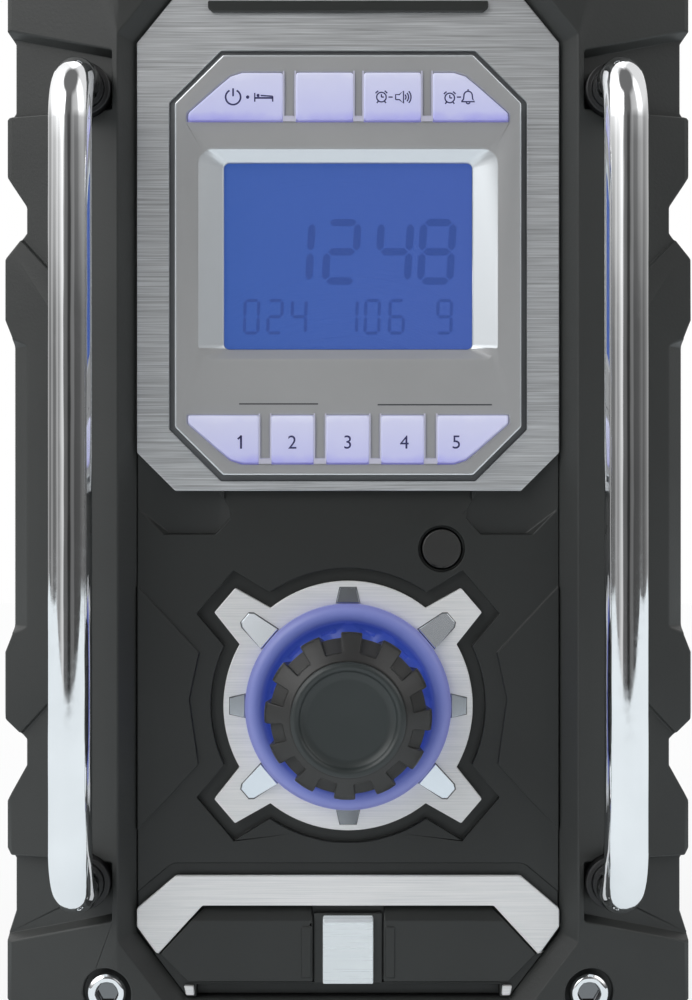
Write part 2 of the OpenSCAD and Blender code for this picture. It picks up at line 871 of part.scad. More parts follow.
// skirted knob with square teeth round its edge
module volume_knob() {
    pitch = 360 / knob_teeth;
    shoulder = knob_h - 5;
    color([0.17, 0.175, 0.175]) difference() {
        turned_y(0, knob_y, dial_z) polygon([
            [shaft_r + run_gap, 0], [knob_r - flare - 0.5, 0], [knob_r - flare, 0.6],
            [knob_r, shoulder - 1.6], [knob_r - 0.6, shoulder],
            [cap_r + 0.4, knob_h], [shaft_r + run_gap, knob_h]]);
        // slots that follow the skirt at one depth and stop short of the cap
        translate([0, knob_y, dial_z]) rotate([90, 0, 0])
            for (i = [0:knob_teeth - 1]) rotate(i * pitch + pitch / 6)
                rotate_extrude(angle = pitch / 2, $fn = 96) polygon([
                    [knob_r - flare - slot_depth, -1], [knob_r - slot_depth, shoulder - 1.6],
                    [slot_in, knob_h - 2.6], [slot_in, knob_h + 1], [knob_r + 5, knob_h + 1],
                    [knob_r + 5, -1]]);
    }
}

// rubber cap with a raised lip round its dished face
module knob_cap() {
    color([0.235, 0.26, 0.26]) turned_y(0, knob_y - knob_h, dial_z) polygon([
        [0, 0], [cap_r, 0], [cap_r, cap_h - 0.8], [cap_r - 0.5, cap_h - 0.15],
        [cap_r - 1.2, cap_h], [cap_r - 1.8, cap_h - 0.4], [cap_r - 2.4, cap_h - 1.3],
        [0, cap_h - 1.5]]);
}

module encoder_body() {
    color([0.5, 0.5, 0.52]) difference() {
        union() {
            translate([0, 0, dial_z]) slab_y(panel_back, panel_back + encoder_t)
                square(encoder_w, center = true);
            rod_y(0, dial_z, 5, dial_y + 0.2, panel_back);
        }
        rod_y(0, dial_z, shaft_r + run_gap, -far, panel_back + 6);
        rod_y(0, dial_z, shaft_r + 0.6, panel_back + 5.9, panel_back + 9);
    }
}

module encoder_plunger() {
    color("silver") rod_y(0, dial_z, shaft_r + 0.3, panel_back + 6, panel_back + 8);
}

module encoder_shaft() {
    color("silver") rod_y(0, dial_z, shaft_r, knob_y - knob_h, panel_back + 6);
}

// ---- ports

// outer edge of the arched trim, wider by grow
module trim_outline(grow) {
    offset(r = 1.2 + grow) offset(delta = -1.2) polygon(mirrored([
        [panel_edge - 9.4, trim_high], [panel_edge, trim_high - 7.9],
        [panel_edge, trim_high - 12.3], [panel_edge - 4.7, port_z[0] + 7.1]]));
}

module lower_trim() {
    tab = [panel_edge - 13.9, port_z[0] - 3];
    color([0.84, 0.85, 0.855]) {
        slab_y(trim_y, panel_y) difference() {
            trim_outline(0);
            port_bay(fit_gap);
            panel_rect([0, port_z[0]], [2 * far, 12]);
        }
        // small tabs at the ends of the slot below the covers
        both_sides() slab_y(trim_y, panel_y) translate(tab)
            polygon([[0, 0], [2, 0], [2.5, 2.3], [0.2, 2.3]]);
    }
}

// side view of the covers and the strip, which share one chamfered upper edge
module cover_profile() {
    slab_x(-far, far) polygon([
        [cover_y - 1, port_z[0] - 1], [cover_y - 1, port_z[1] - cover_chamfer - 1],
        [bay_floor, port_z[1]], [bay_floor, port_z[0] - 1]]);
}

module centre_strip() {
    color([0.88, 0.9, 0.91]) intersection() {
        slab_y(cover_y - 0.3, cover_y + 1)
            polygon(mirrored([[6.1, port_z[0]], [6.1, port_z[1]]]));
        cover_profile();
    }
}

module cover_anchor() {
    color([0.2, 0.21, 0.21]) slab_y(cover_y + 1, bay_floor) polygon(mirrored([
        [anchor_x, port_z[0]], [anchor_x, port_z[1] - cover_chamfer / 2]]));
}

// right port cover: flap, hinge rib and the plug that fills the socket's well
module port_cover() {
    rib = [hinge_x + 0.4, hinge_x + 2.6];
    intersection() {
        slab_y(cover_y, bay_floor - 0.1) difference() {
            offset(delta = -2 * fit_gap) port_bay(0);
            panel_rect([-far / 2 + hinge_x, mid_z], [far, 2 * far]);
        }
        cover_profile();
    }
    slab_y(cover_y - 0.4, cover_y) translate([rib[0], port_z[0] + 1.4])
        square([rib[1] - rib[0], port_z[1] - port_z[0] - cover_chamfer - 2.8]);
    rod_y(port_x, port_mid, plug_r - 0.3, bay_floor - 0.1, panel_back - 0.4);
}

module aux_cover() { color([0.215, 0.225, 0.225]) mirror([1, 0, 0]) port_cover(); }

module usb_cover() { color([0.215, 0.225, 0.225]) port_cover(); }

module aux_jack() {
    color([0.12, 0.12, 0.13]) difference() {
        union() {
            rod_y(-port_x, port_mid, plug_r + 2.5, panel_back, panel_back + 2);
            rod_y(-port_x, port_mid, 4, panel_back + 2, panel_back + 12);
        }
        rod_y(-port_x, port_mid, 1.8, panel_back - 1, panel_back + 11);
    }
}

module usb_port() {
    color([0.7, 0.71, 0.72]) translate([port_x, 0, port_mid]) difference() {
        union() {
            slab_y(panel_back, panel_back + 1.5) square([17, 15], center = true);
            slab_y(panel_back + 1.5, panel_back + 14) square([15, 8], center = true);
        }
        slab_y(panel_back - 1, panel_back + 12) square([8, 4.6], center = true);
    }
}

// ---- guard bars and fasteners

// a bar with two legs, as one bent rod, at the right front
module guard_bar() {
    low = mid_z - bar_leg_z;
    high = mid_z + bar_leg_z;
    for (z = [low, high]) rod_y(bar_x, z, bar_r, bar_y + bar_bend, leg_end);
    translate([bar_x, bar_y, low + bar_bend])
        cylinder(r = bar_r, h = high - low - 2 * bar_bend);
    for (end = [0, 1])
        translate([bar_x, bar_y + bar_bend, end ? high - bar_bend : low + bar_bend])
            mirror([0, 0, end]) rotate([180, 90, 0])
                rotate_extrude(angle = 90, $fn = 48)
                    translate([bar_bend, 0]) circle(r = bar_r, $fn = 48);
}

module left_guard_bar() { color([0.85, 0.86, 0.88]) mirror([1, 0, 0]) guard_bar(); }

module right_guard_bar() { color([0.85, 0.86, 0.88]) guard_bar(); }

module rear_guard_bars() {
    color([0.85, 0.86, 0.88]) mirror([0, 1, 0]) both_sides() guard_bar();
}

// collars that seat on the floor of the bar channels
module bar_bushes() {
    color([0.08, 0.08, 0.085]) both_ends() both_sides()
        for (z = [mid_z - bar_leg_z, mid_z + bar_leg_z]) difference() {
            rod_y(bar_x, z, bush_r, face_y - 1.4, face_y + 5.8);
            rod_y(bar_x, z, bar_r + run_gap, face_y - 5, face_y + 9);
            behind_channel();
        }
}

// everything behind the floor of the bar channels
module behind_channel() {
    on_slope() translate([-far, channel_floor, 0]) cube([2 * far, far, far]);
}

module bumper_bolts() {
    color([0.8, 0.81, 0.83]) both_ends() both_sides() for (at = bolt_at) difference() {
        union() {
            turned_y(at[0], bolt_seat(), at[1]) polygon([
                [0, 0], [bolt_head_r, 0], [bolt_head_r, bolt_head_h - 0.8],
                [bolt_head_r - 0.8, bolt_head_h], [0, bolt_head_h]]);
            rod_y(at[0], at[1], bolt_r, bolt_seat(), leg_end - 3);
        }
        translate([at[0], bolt_seat() - bolt_head_h + 2.6, at[1]]) rotate([90, 0, 0])
            cylinder(r = 2.9, h = 5, $fn = 6);
    }
}

// ---- handle

module carry_handle() {
    high = beam_top;
    inner = arm_y - arm_t;
    color([0.12, 0.12, 0.125]) difference() {
        union() {
            slab_x(-arm_w / 2, arm_w / 2) difference() {
                polygon(mirrored([
                    [arm_y, pivot_z], [arm_y, high - 12], [arm_y - 10, high]]));
                polygon(mirrored([
                    [inner, pivot_z - 1], [inner, high - beam_h - 6],
                    [inner - 6, high - beam_h]]));
            }
            both_ends() rod_y(0, pivot_z, hub_r, inner, arm_y);
        }
        both_ends() rod_y(0, pivot_z, pivot_r + run_gap, inner - 1, arm_y + 1);
    }
}

// soft sleeve with finger grooves round the handle's beam
module handle_grip() {
    low = overall_h - grip_h;
    grooves = 9;
    pitch = (sleeve_l - 14) / grooves;
    color([0.2, 0.2, 0.205]) difference() {
        slab_y(-sleeve_l / 2, sleeve_l / 2) translate([0, low + grip_h / 2])
            octagon([grip_w, grip_h], 5);
        slab_y(-far, far) translate([0, beam_top - beam_h / 2])
            square([arm_w, beam_h], center = true);
        for (i = [0:grooves]) both_sides()
            translate([grip_w / 2 - 0.8, (i - grooves / 2) * pitch - 1, low - 1])
                cube([2, 2, far]);
    }
}

module handle_pivots() {
    color([0.6, 0.61, 0.62]) both_ends()
        rod_y(0, pivot_z, pivot_r, arm_y - arm_t - 2, valley_l / 2 + 7.5);
    color([0.6, 0.61, 0.62]) both_ends()
        rod_y(0, pivot_z, pivot_r + 2, -arm_y + arm_t + 0.4, -arm_y + arm_t + 2);
}

// ---- antenna

// soft rod, its ferrule and its hub, folded down into the channel
module antenna_rod() {
    hub_t = channel_w - 2 * move_gap;
    x0 = antenna_x - hub_t / 2;
    color([0.09, 0.09, 0.095]) difference() {
        union() {
            rod_x(antenna_hub_y, antenna_z, antenna_hub_r, x0, x0 + hub_t);
            rod_y(antenna_x, antenna_z, rod_r + 0.6, antenna_hub_y - 16, antenna_hub_y);
            rod_y(antenna_x, antenna_z, rod_r, rod_end + rod_r, antenna_hub_y - 15);
            translate([antenna_x, rod_end + rod_r, antenna_z]) sphere(r = rod_r);
        }
        rod_x(antenna_hub_y, antenna_z, antenna_pin_r + run_gap, x0 - 1, x0 + hub_t + 1);
    }
}

module hinge_pins() {
    color([0.7, 0.71, 0.72]) {
        rod_x(antenna_hub_y, antenna_z, antenna_pin_r,
            antenna_x - channel_w / 2 - wall + 0.8, antenna_x + channel_w / 2 + wall - 0.8);
        both_sides()
            rod_x(door_axis[0], door_axis[1], door_pin_r, knuckle_x[0] + 0.6, ear_x[1] - 1.2);
    }
}

// ---- speakers

module baffle() {
    difference() {
        union() {
            slab_x(wall_x - wall, wall_x) side_window(baffle_lip);
            slab_x(wall_x, core_x) side_window(-1 - fit_gap);
        }
        rod_x(0, speaker_z, speaker_r, 0, far);
    }
}

module speaker_baffles() { color([0.12, 0.12, 0.125]) both_sides() baffle(); }

// perforated steel sheet: hexagonal holes on a staggered grid inside a plain border
module grille() {
    border = 5;
    row = grille_pitch * sin(60);
    rows = floor((grille_w / 2 - border) / row);
    cols = ceil(grille_w / 2 / grille_pitch);
    reach = grille_w / 2 - border - grille_hole / 2;
    slope_reach = grille_w - grille_cut - (border + grille_hole / 2) * sqrt(2);
    slab_x(core_x, core_x + 1.5) translate([0, speaker_z]) difference() {
        octagon([grille_w, grille_w], grille_cut);
        for (j = [-rows:rows], i = [-cols:cols]) {
            y = (i + (j % 2 == 0 ? 0 : 0.5)) * grille_pitch;
            z = j * row;
            if (abs(y) <= reach && abs(z) <= reach && abs(y) + abs(z) <= slope_reach)
                translate([y, z]) rotate(30)
                    circle(r = grille_hole / 2 / cos(30), $fn = 6);
        }
    }
}

module left_grille() { color([0.3, 0.305, 0.31]) mirror([1, 0, 0]) grille(); }

module right_grille() { color([0.3, 0.305, 0.31]) grille(); }

// driver: rim, basket and magnet behind the baffle
module speaker() {
    translate([wall_x - wall, 0, speaker_z]) rotate([0, -90, 0])
        rotate_extrude($fn = 96) polygon([
            [speaker_r - 2, 0], [speaker_r + 5, 0], [speaker_r + 5, 3], [speaker_r, 4],
            [magnet_r + 2, speaker_depth - 12], [magnet_r, speaker_depth - 12],
            [magnet_r, speaker_depth], [0, speaker_depth], [0, speaker_depth - 14],
            [magnet_r - 6, speaker_depth - 14], [speaker_r - 4, 3]]);
}

module left_speaker() { color([0.35, 0.35, 0.36]) mirror([1, 0, 0]) speaker(); }

module right_speaker() { color([0.35, 0.35, 0.36]) speaker(); }

// paper cones with their rolled edge and dust cap
module speaker_cones() {
    color([0.14, 0.14, 0.15]) both_sides()
        translate([wall_x - wall, 0, speaker_z]) rotate([0, 90, 0])
            rotate_extrude($fn = 96) polygon([
                [0, -9], [9, -11], [12, -14], [speaker_r - 6.5, -1], [speaker_r - 5, 1.4],
                [speaker_r - 3.5, 1.8], [speaker_r - 2, 0], [speaker_r - 0.6, 0],
                [speaker_r - 0.6, 0.8], [speaker_r - 2.2, 1.4], [speaker_r - 3.4, 2.6],
                [speaker_r - 5.4, 2.2], [speaker_r - 7, 0], [12, -12.8], [9, -9.6],
                [5, -7.6], [0, -7]]);
}

// ---- rear: battery bay, door, latch and mains socket

module battery_tray() {
    w = bay_w / 2 + bay_wall;
    color([0.11, 0.11, 0.115]) difference() {
        translate([-w, rear_y - wall - bay_d - bay_wall, bay_low - bay_wall])
            cube([2 * w, bay_d + bay_wall, bay_h + 2 * bay_wall]);
        translate([-bay_w / 2, rear_y - wall - bay_d, bay_low])
            cube([bay_w, bay_d + 1, bay_h]);
    }
}

// contact block on the back wall of the bay, with its slots and blades
module battery_terminal() {
    back = rear_y - wall - bay_d;
    block = [bay_w * 0.6, 12, 34];
    blade_x = block[0] * 0.29;
    low = bay_high - 12 - block[2];
    color([0.22, 0.22, 0.23]) difference() {
        translate([-block[0] / 2, back, low]) cube(block);
        for (x = [-blade_x, blade_x]) translate([x - 1.2, back + 4, low + 6])
            cube([2.4, block[1], block[2] - 12]);
    }
    color([0.75, 0.7, 0.5]) for (x = [-blade_x, blade_x])
        translate([x - 0.5, back + 4, low + 8]) cube([1, 6, block[2] - 16]);
}

module door_outline() {
    w = door_w / 2;
    polygon(mirrored([[w - 14, door_low], [w, door_low + 14], [w, door_high - 14],
        [w - 14, door_high]]));
}

// door on two knuckles, ribbed outside, with the latch's pocket near its top
module battery_door() {
    pocket = [latch_w + 2 * move_gap, latch_h + latch_travel + 2 * move_gap];
    pocket_mid = latch_top + latch_travel + move_gap - pocket[1] / 2;
    color([0.15, 0.155, 0.155]) difference() {
        union() {
            slab_y(door_y, door_back) door_outline();
            for (i = [0:4]) translate([0, door_back - 0.01, door_low + 28 + i * 12])
                slab_y(0, 1) square([56, 4], center = true);
            both_sides()
                rod_x(door_axis[0], door_axis[1], knuckle_r, knuckle_x[0], knuckle_x[1]);
        }
        translate([0, 0, pocket_mid]) slab_y(latch_mid() - 1.4, far)
            square(pocket, center = true);
        translate([-tongue_w / 2 - 0.4, latch_mid() - tongue_t / 2 - 0.3, latch_top - 1])
            cube([tongue_w + 0.8, tongue_t + 0.6, 20]);
        both_sides() {
            rod_x(door_axis[0], door_axis[1], door_pin_r + run_gap,
                knuckle_x[0], knuckle_x[1] + 1);
            translate([knuckle_x[1], rear_y, door_low - 1])
                cube([ear_x[1] - knuckle_x[1] + 0.4, far, knuckle_r + 3.8]);
        }
    }
}

// slide lock in the door: finger ribs outside, and a tongue that rises into the keeper
module door_latch() {
    color([0.3, 0.305, 0.31]) {
        translate([0, 0, latch_top - latch_h / 2]) {
            slab_y(latch_mid() - 1, door_back - 0.2) square([latch_w, latch_h], center = true);
            for (i = [-1:1]) translate([0, 0, 5 * i]) slab_y(door_back - 0.2, door_back + 0.8)
                square([latch_w - 8, 1.6], center = true);
        }
        translate([-tongue_w / 2, latch_mid() - tongue_t / 2, latch_top - 2])
            cube([tongue_w, tongue_t, door_high - latch_top + 1.8]);
    }
}

// board on the posts in the housing's floor
module main_board() {
    size = [column_w - 10, body_d / 2 - 4];
    color([0.1, 0.32, 0.2]) translate([-size[0] / 2, -size[1] / 2, foot_h + post_h])
        cube([size[0], size[1], board_t]);
}

module dc_jack() {
    color([0.1, 0.1, 0.105]) difference() {
        union() {
            rod_y(socket_at[0], socket_at[1], 8, rear_y - wall - 2, rear_y - wall);
            rod_y(socket_at[0], socket_at[1], 4.8, rear_y - wall - 14, rear_y - 1);
        }
        rod_y(socket_at[0], socket_at[1], 2.8, rear_y - wall - 10, rear_y);
    }
}

module dc_cover() {
    color([0.2, 0.205, 0.205]) {
        translate([socket_at[0], 0, socket_at[1]]) slab_y(rear_y + 0.3, rear_y + 2.8)
            octagon([18, 18], 4);
        rod_y(socket_at[0], socket_at[1], 2.5, rear_y - 1.5, rear_y + 0.4);
    }
}

module feet() {
    color([0.1, 0.1, 0.1]) for (x = [-foot_at[0], foot_at[0]], y = [-foot_at[1], foot_at[1]])
        translate([x, y, 0]) rotate_extrude($fn = 64) polygon([
            [0, 0], [foot_r - 1, 0], [foot_r, 1], [foot_r, foot_h], [0, foot_h]]);
}

front_housing();
rear_housing();
front_bumper();
rear_bumper();
control_panel();
brushed_plate();
badge_plate();
display_housing();
display_lens();
lcd_module();
power_key();
source_key();
radio_alarm_key();
buzzer_alarm_key();
preset_key_1();
preset_key_2();
preset_key_3();
preset_key_4();
preset_key_5();
control_board();
info_key();
dial_plate();
dial_markers();
light_ring();
volume_knob();
knob_cap();
encoder_body();
encoder_plunger();
encoder_shaft();
lower_trim();
centre_strip();
cover_anchor();
aux_cover();
usb_cover();
aux_jack();
usb_port();
left_guard_bar();
right_guard_bar();
rear_guard_bars();
bar_bushes();
bumper_bolts();
carry_handle();
handle_grip();
handle_pivots();
antenna_rod();
hinge_pins();
speaker_baffles();
left_grille();
right_grille();
left_speaker();
right_speaker();
speaker_cones();
battery_tray();
battery_terminal();
battery_door();
door_latch();
main_board();
dc_jack();
dc_cover();
feet();
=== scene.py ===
import contextlib
import json
import math

import bmesh
import bpy
import numpy as np
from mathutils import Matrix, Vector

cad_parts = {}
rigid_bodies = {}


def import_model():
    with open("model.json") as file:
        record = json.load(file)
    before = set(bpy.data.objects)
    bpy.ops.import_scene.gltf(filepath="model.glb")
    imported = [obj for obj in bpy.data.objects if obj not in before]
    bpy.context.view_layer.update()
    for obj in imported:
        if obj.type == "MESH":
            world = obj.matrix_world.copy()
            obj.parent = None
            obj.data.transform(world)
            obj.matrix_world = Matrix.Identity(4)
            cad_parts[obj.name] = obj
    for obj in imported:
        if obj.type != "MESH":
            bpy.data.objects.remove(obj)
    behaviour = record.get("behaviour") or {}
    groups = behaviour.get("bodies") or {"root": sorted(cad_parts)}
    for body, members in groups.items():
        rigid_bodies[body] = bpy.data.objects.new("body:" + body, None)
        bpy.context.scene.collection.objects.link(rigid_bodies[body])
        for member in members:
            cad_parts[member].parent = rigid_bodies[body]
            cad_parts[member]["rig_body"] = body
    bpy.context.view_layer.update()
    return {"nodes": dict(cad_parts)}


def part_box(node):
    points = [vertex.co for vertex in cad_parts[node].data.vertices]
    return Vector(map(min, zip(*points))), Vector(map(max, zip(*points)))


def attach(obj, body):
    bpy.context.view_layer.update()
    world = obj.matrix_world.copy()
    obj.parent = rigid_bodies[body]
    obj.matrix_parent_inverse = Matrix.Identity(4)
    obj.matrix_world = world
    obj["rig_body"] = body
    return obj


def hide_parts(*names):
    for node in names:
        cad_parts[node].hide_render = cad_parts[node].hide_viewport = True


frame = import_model()

# ==== The view =====================================================================
# A level camera straight in front of the control column, close enough that the top and
# the bottom of the case are out of its view.
camera_data = bpy.data.cameras.new("camera")
camera_data.sensor_width = 36
camera_data.lens = 64.6
camera = bpy.data.objects.new("camera", camera_data)
camera.location = (-0.0005, -0.534, 0.1346)
camera.rotation_euler = (math.radians(90), 0, 0)
bpy.context.scene.collection.objects.link(camera)
bpy.context.scene.camera = camera
bpy.context.scene.view_settings.view_transform = "Standard"

# ==== The studio ===================================================================
# A pale table in a white room. Dim screens with dark gaps stand round the object at its
# own height, and soft light comes from above them, stronger from the left.


def link(tree, source, target):
    """Joins an output socket to an input socket of one node tree."""
    tree.links.new(source, target)


def ramp(tree, value, stops):
    """A colour ramp over value; stops are (position, grey or colour)."""
    node = tree.nodes.new("ShaderNodeValToRGB")
    while len(node.color_ramp.elements) < len(stops):
        node.color_ramp.elements.new(0.5)
    for element, (position, colour) in zip(node.color_ramp.elements, stops):
        element.position = position
        grey = isinstance(colour, (int, float))
        element.color = (colour, colour, colour, 1) if grey else (*colour, 1)
    link(tree, value, node.inputs[0])
    return node.outputs[0]


def maths(tree, operation, *values):
    """A Math node; each value is a socket or a number."""
    node = tree.nodes.new("ShaderNodeMath")
    node.operation = operation
    for socket, value in zip(node.inputs, values):
        if isinstance(value, (int, float)):
            socket.default_value = value
        else:
            link(tree, value, socket)
    return node.outputs[0]


def mixed(tree, share, first, second):
    """A colour that goes from first to second as share goes from 0 to 1."""
    node = tree.nodes.new("ShaderNodeMix")
    node.data_type = "RGBA"
    for socket, value in ((node.inputs["Factor"], share), (node.inputs[6], first),
                          (node.inputs[7], second)):
        if isinstance(value, tuple):
            socket.default_value = (*value, 1)
        else:
            link(tree, value, socket)
    return node.outputs[2]


world = bpy.data.worlds.new("studio")
bpy.context.scene.world = world
world.use_nodes = True
sky = world.node_tree
sky.nodes.clear()
towards = sky.nodes.new("ShaderNodeTexCoord").outputs["Generated"]
split = sky.nodes.new("ShaderNodeSeparateXYZ")
link(sky, towards, split.inputs[0])
azimuth = maths(sky, "ARCTAN2", split.outputs["X"],
                maths(sky, "MULTIPLY", split.outputs["Y"], -1))
round_about = maths(sky, "MULTIPLY_ADD", azimuth, 0.5 / math.pi, 0.5)


def at(degrees):
    """Place on the azimuth ramp; 0 is towards the camera and 90 is to the right."""
    return degrees / 360 + 0.5


screens = ramp(sky, round_about, [
    (at(-180), 0.5), (at(-140), 0.34), (at(-122), 0.14), (at(-112), 0.16),
    (at(-100), 0.36), (at(-88), 0.15), (at(-74), 0.14), (at(-66), 0.34), (at(-58), 0.36),
    (at(-54), 0.2), (at(-44), 0.4), (at(-34), 0.64), (at(-28), 0.68), (at(-24), 0.13),
    (at(-8), 0.11), (at(-1), 0.03), (at(8), 0.03), (at(14), 0.14), (at(26), 0.16),
    (at(32), 0.07), (at(60), 0.08), (at(80), 0.16), (at(92), 0.1), (at(112), 0.17),
    (at(140), 0.3), (at(180), 0.5)])
above = ramp(sky, round_about, [
    (at(-180), 2.4), (at(-150), 1), (at(-112), 1.2), (at(-84), 2.6), (at(-34), 2.8),
    (at(-24), 2.4), (at(-17), 0.16), (at(12), 0.12), (at(24), 0.5), (at(48), 0.6),
    (at(58), 1.6), (at(80), 1.6), (at(96), 0.8), (at(150), 0.8), (at(180), 2.4)])

# The screens get brighter upwards and pass into the light above them.
rise = split.outputs["Z"]
belt = sky.nodes.new("ShaderNodeVectorMath")
belt.operation = "SCALE"
link(sky, screens, belt.inputs[0])
link(sky, maths(sky, "MULTIPLY_ADD", maths(sky, "MAXIMUM", rise, 0), 2.4, 1),
     belt.inputs["Scale"])
over_screens = ramp(sky, maths(sky, "MULTIPLY_ADD", rise, 0.5, 0.5),
                    [(0.55, 0), (0.6, 0.16), (0.69, 1)])
lit = mixed(sky, over_screens, belt.outputs[0], above)

# A round dark panel hangs over the object, a little towards the camera.
panel_way = sky.nodes.new("ShaderNodeVectorMath")
panel_way.operation = "DOT_PRODUCT"
panel_way.inputs[1].default_value = (0, -0.26, 0.966)
link(sky, towards, panel_way.inputs[0])
on_panel = ramp(sky, panel_way.outputs["Value"], [(0.84, 0), (0.92, 1)])

# The camera itself sees a white room.
light = sky.nodes.new("ShaderNodeBackground")
link(sky, mixed(sky, on_panel, lit, (0.16, 0.16, 0.16)), light.inputs["Color"])
white = sky.nodes.new("ShaderNodeBackground")
white.inputs["Color"].default_value = (1, 1, 1, 1)
room = sky.nodes.new("ShaderNodeMixShader")
link(sky, sky.nodes.new("ShaderNodeLightPath").outputs["Is Camera Ray"], room.inputs[0])
link(sky, light.outputs[0], room.inputs[1])
link(sky, white.outputs[0], room.inputs[2])
link(sky, room.outputs[0], sky.nodes.new("ShaderNodeOutputWorld").inputs["Surface"])


def grid_faces(nu, nv, closed, first):
    """Faces of a grid of nu by nv points numbered from first: point (i, j) is joined to
    (i+1, j), (i+1, j+1) and (i, j+1); a closed grid joins its last j to its first."""
    i, j = np.meshgrid(np.arange(nu - 1), np.arange(nv if closed else nv - 1),
                       indexing="ij")
    a, b = i * nv + j, (i + 1) * nv + j
    c, d = (i + 1) * nv + (j + 1) % nv, i * nv + (j + 1) % nv
    return (np.stack([a, b, c, d], -1).reshape(-1, 4) + first).tolist()


def surface_mesh(name, grids, closed=False, caps=()):
    """One mesh from grids of points, each of shape (u, v, 3) and closed along v or not,
    and from caps, the lists of point numbers of further faces."""
    points, faces, count = [], [list(cap) for cap in caps], 0
    for grid in grids:
        nu, nv = grid.shape[:2]
        points.append(np.asarray(grid, float).reshape(-1, 3))
        faces += grid_faces(nu, nv, closed, count)
        count += nu * nv
    mesh = bpy.data.meshes.new(name)
    mesh.from_pydata(np.concatenate(points), [], faces)
    return mesh


def new_material(name):
    """A new material, its node tree and its Principled shader."""
    material = bpy.data.materials.new(name)
    material.use_nodes = True
    return material, material.node_tree, material.node_tree.nodes["Principled BSDF"]


table, tree, paper = new_material("pale_table")
paper.inputs["Base Color"].default_value = (0.8, 0.81, 0.82, 1)
paper.inputs["Roughness"].default_value = 0.9
glow = tree.nodes.new("ShaderNodeEmission")
path = tree.nodes.new("ShaderNodeLightPath")
link(tree, mixed(tree, path.outputs["Is Camera Ray"], (0.83, 0.9, 0.94), (1.0, 1.0, 1.0)),
     glow.inputs["Color"])
mirrored = maths(tree, "MAXIMUM", path.outputs["Is Glossy Ray"],
                 path.outputs["Is Transmission Ray"])
glowing = maths(tree, "MAXIMUM", maths(tree, "MULTIPLY", mirrored, 0.8),
                maths(tree, "MULTIPLY", path.outputs["Is Camera Ray"], 0.86))
shown = tree.nodes.new("ShaderNodeMixShader")
link(tree, glowing, shown.inputs[0])
link(tree, paper.outputs[0], shown.inputs[1])
link(tree, glow.outputs[0], shown.inputs[2])
link(tree, shown.outputs[0], tree.nodes["Material Output"].inputs["Surface"])

corners = np.array([[[-2.1, -0.93, 0], [-2.1, 1.8, 0]], [[2.1, -0.93, 0], [2.1, 1.8, 0]]])
floor = bpy.data.objects.new("floor", surface_mesh("floor", [corners]))
floor.data.materials.append(table)
bpy.context.scene.collection.objects.link(floor)

# ==== Rubber armour ================================================================
# Two soft thermoplastic jackets moulded over the halves of the case. Their edges are
# rounded by the mould, and the surface has a fine matte grain.


def srgb(red, green, blue):
    """A colour as it is seen, 0 to 255, in the linear values that the shaders take."""
    share = np.array([red, green, blue]) / 255
    linear = np.where(share < 0.04045, share / 12.92, ((share + 0.055) / 1.055) ** 2.4)
    return tuple(float(part) for part in linear)


def place(tree, stretch=(1, 1, 1), centre=(0, 0, 0)):
    """Object coordinates in metres from a centre, multiplied along each axis by
    stretch."""
    mapping = tree.nodes.new("ShaderNodeMapping")
    mapping.inputs["Scale"].default_value = stretch
    mapping.inputs["Location"].default_value = [-c * s for c, s in zip(centre, stretch)]
    link(tree, tree.nodes.new("ShaderNodeTexCoord").outputs["Object"],
         mapping.inputs["Vector"])
    return mapping.outputs[0]


def noise(tree, spot, scale, detail):
    """Noise from 0 to 1 with scale cells per metre."""
    node = tree.nodes.new("ShaderNodeTexNoise")
    node.inputs["Scale"].default_value = scale
    node.inputs["Detail"].default_value = detail
    link(tree, spot, node.inputs["Vector"])
    return node.outputs["Fac"]


def shift_range(tree, value, low, high):
    """Carries a value from the 0.3 to 0.7 that noise mostly fills to low and high."""
    node = tree.nodes.new("ShaderNodeMapRange")
    for socket, number in zip(("From Min", "From Max", "To Min", "To Max"),
                              (0.3, 0.7, low, high)):
        node.inputs[socket].default_value = number
    link(tree, value, node.inputs["Value"])
    return node.outputs["Result"]


def bump(tree, surface, height, depth):
    """Presses a 0 to 1 height into the surface, depth metres deep."""
    node = tree.nodes.new("ShaderNodeBump")
    node.inputs["Strength"].default_value = 1
    node.inputs["Distance"].default_value = depth
    link(tree, height, node.inputs["Height"])
    link(tree, node.outputs["Normal"], surface.inputs["Normal"])


def moulded(name, colour, roughness, grain=1400, depth=0.00004, uneven=0.06):
    """Moulded plastic or rubber: a spark-eroded grain, and patches where it is a little
    paler and shinier from handling."""
    material, tree, surface = new_material(name)
    patches = noise(tree, place(tree), 38, 4)
    pale = np.array(colour)
    link(tree, ramp(tree, patches, [(0.3, tuple(pale * (1 - uneven))),
                                    (0.7, tuple(pale * (1 + uneven)))]),
         surface.inputs["Base Color"])
    link(tree, shift_range(tree, patches, roughness + 0.04, roughness - 0.04),
         surface.inputs["Roughness"])
    bump(tree, surface, noise(tree, place(tree), grain, 3), depth)
    return material


def body_of(node):
    """Name of the moving body that a CAD node belongs to."""
    return frame["nodes"][node]["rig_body"]


def fitted(piece, material, slot, body, *nodes):
    """Puts a finished piece on its body in place of its CAD nodes; slot is not used."""
    if piece.name not in bpy.context.scene.collection.objects:
        bpy.context.scene.collection.objects.link(piece)
    piece.data.materials.clear()
    piece.data.materials.append(material)
    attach(piece, body)
    if nodes:
        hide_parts(*nodes)
    return piece


def finished(piece):
    """The mesh of a piece or a text with its modifiers applied and cleared."""
    bpy.context.view_layer.update()
    evaluated = piece.evaluated_get(bpy.context.evaluated_depsgraph_get())
    mesh = bpy.data.meshes.new_from_object(evaluated)
    piece.modifiers.clear()
    return mesh


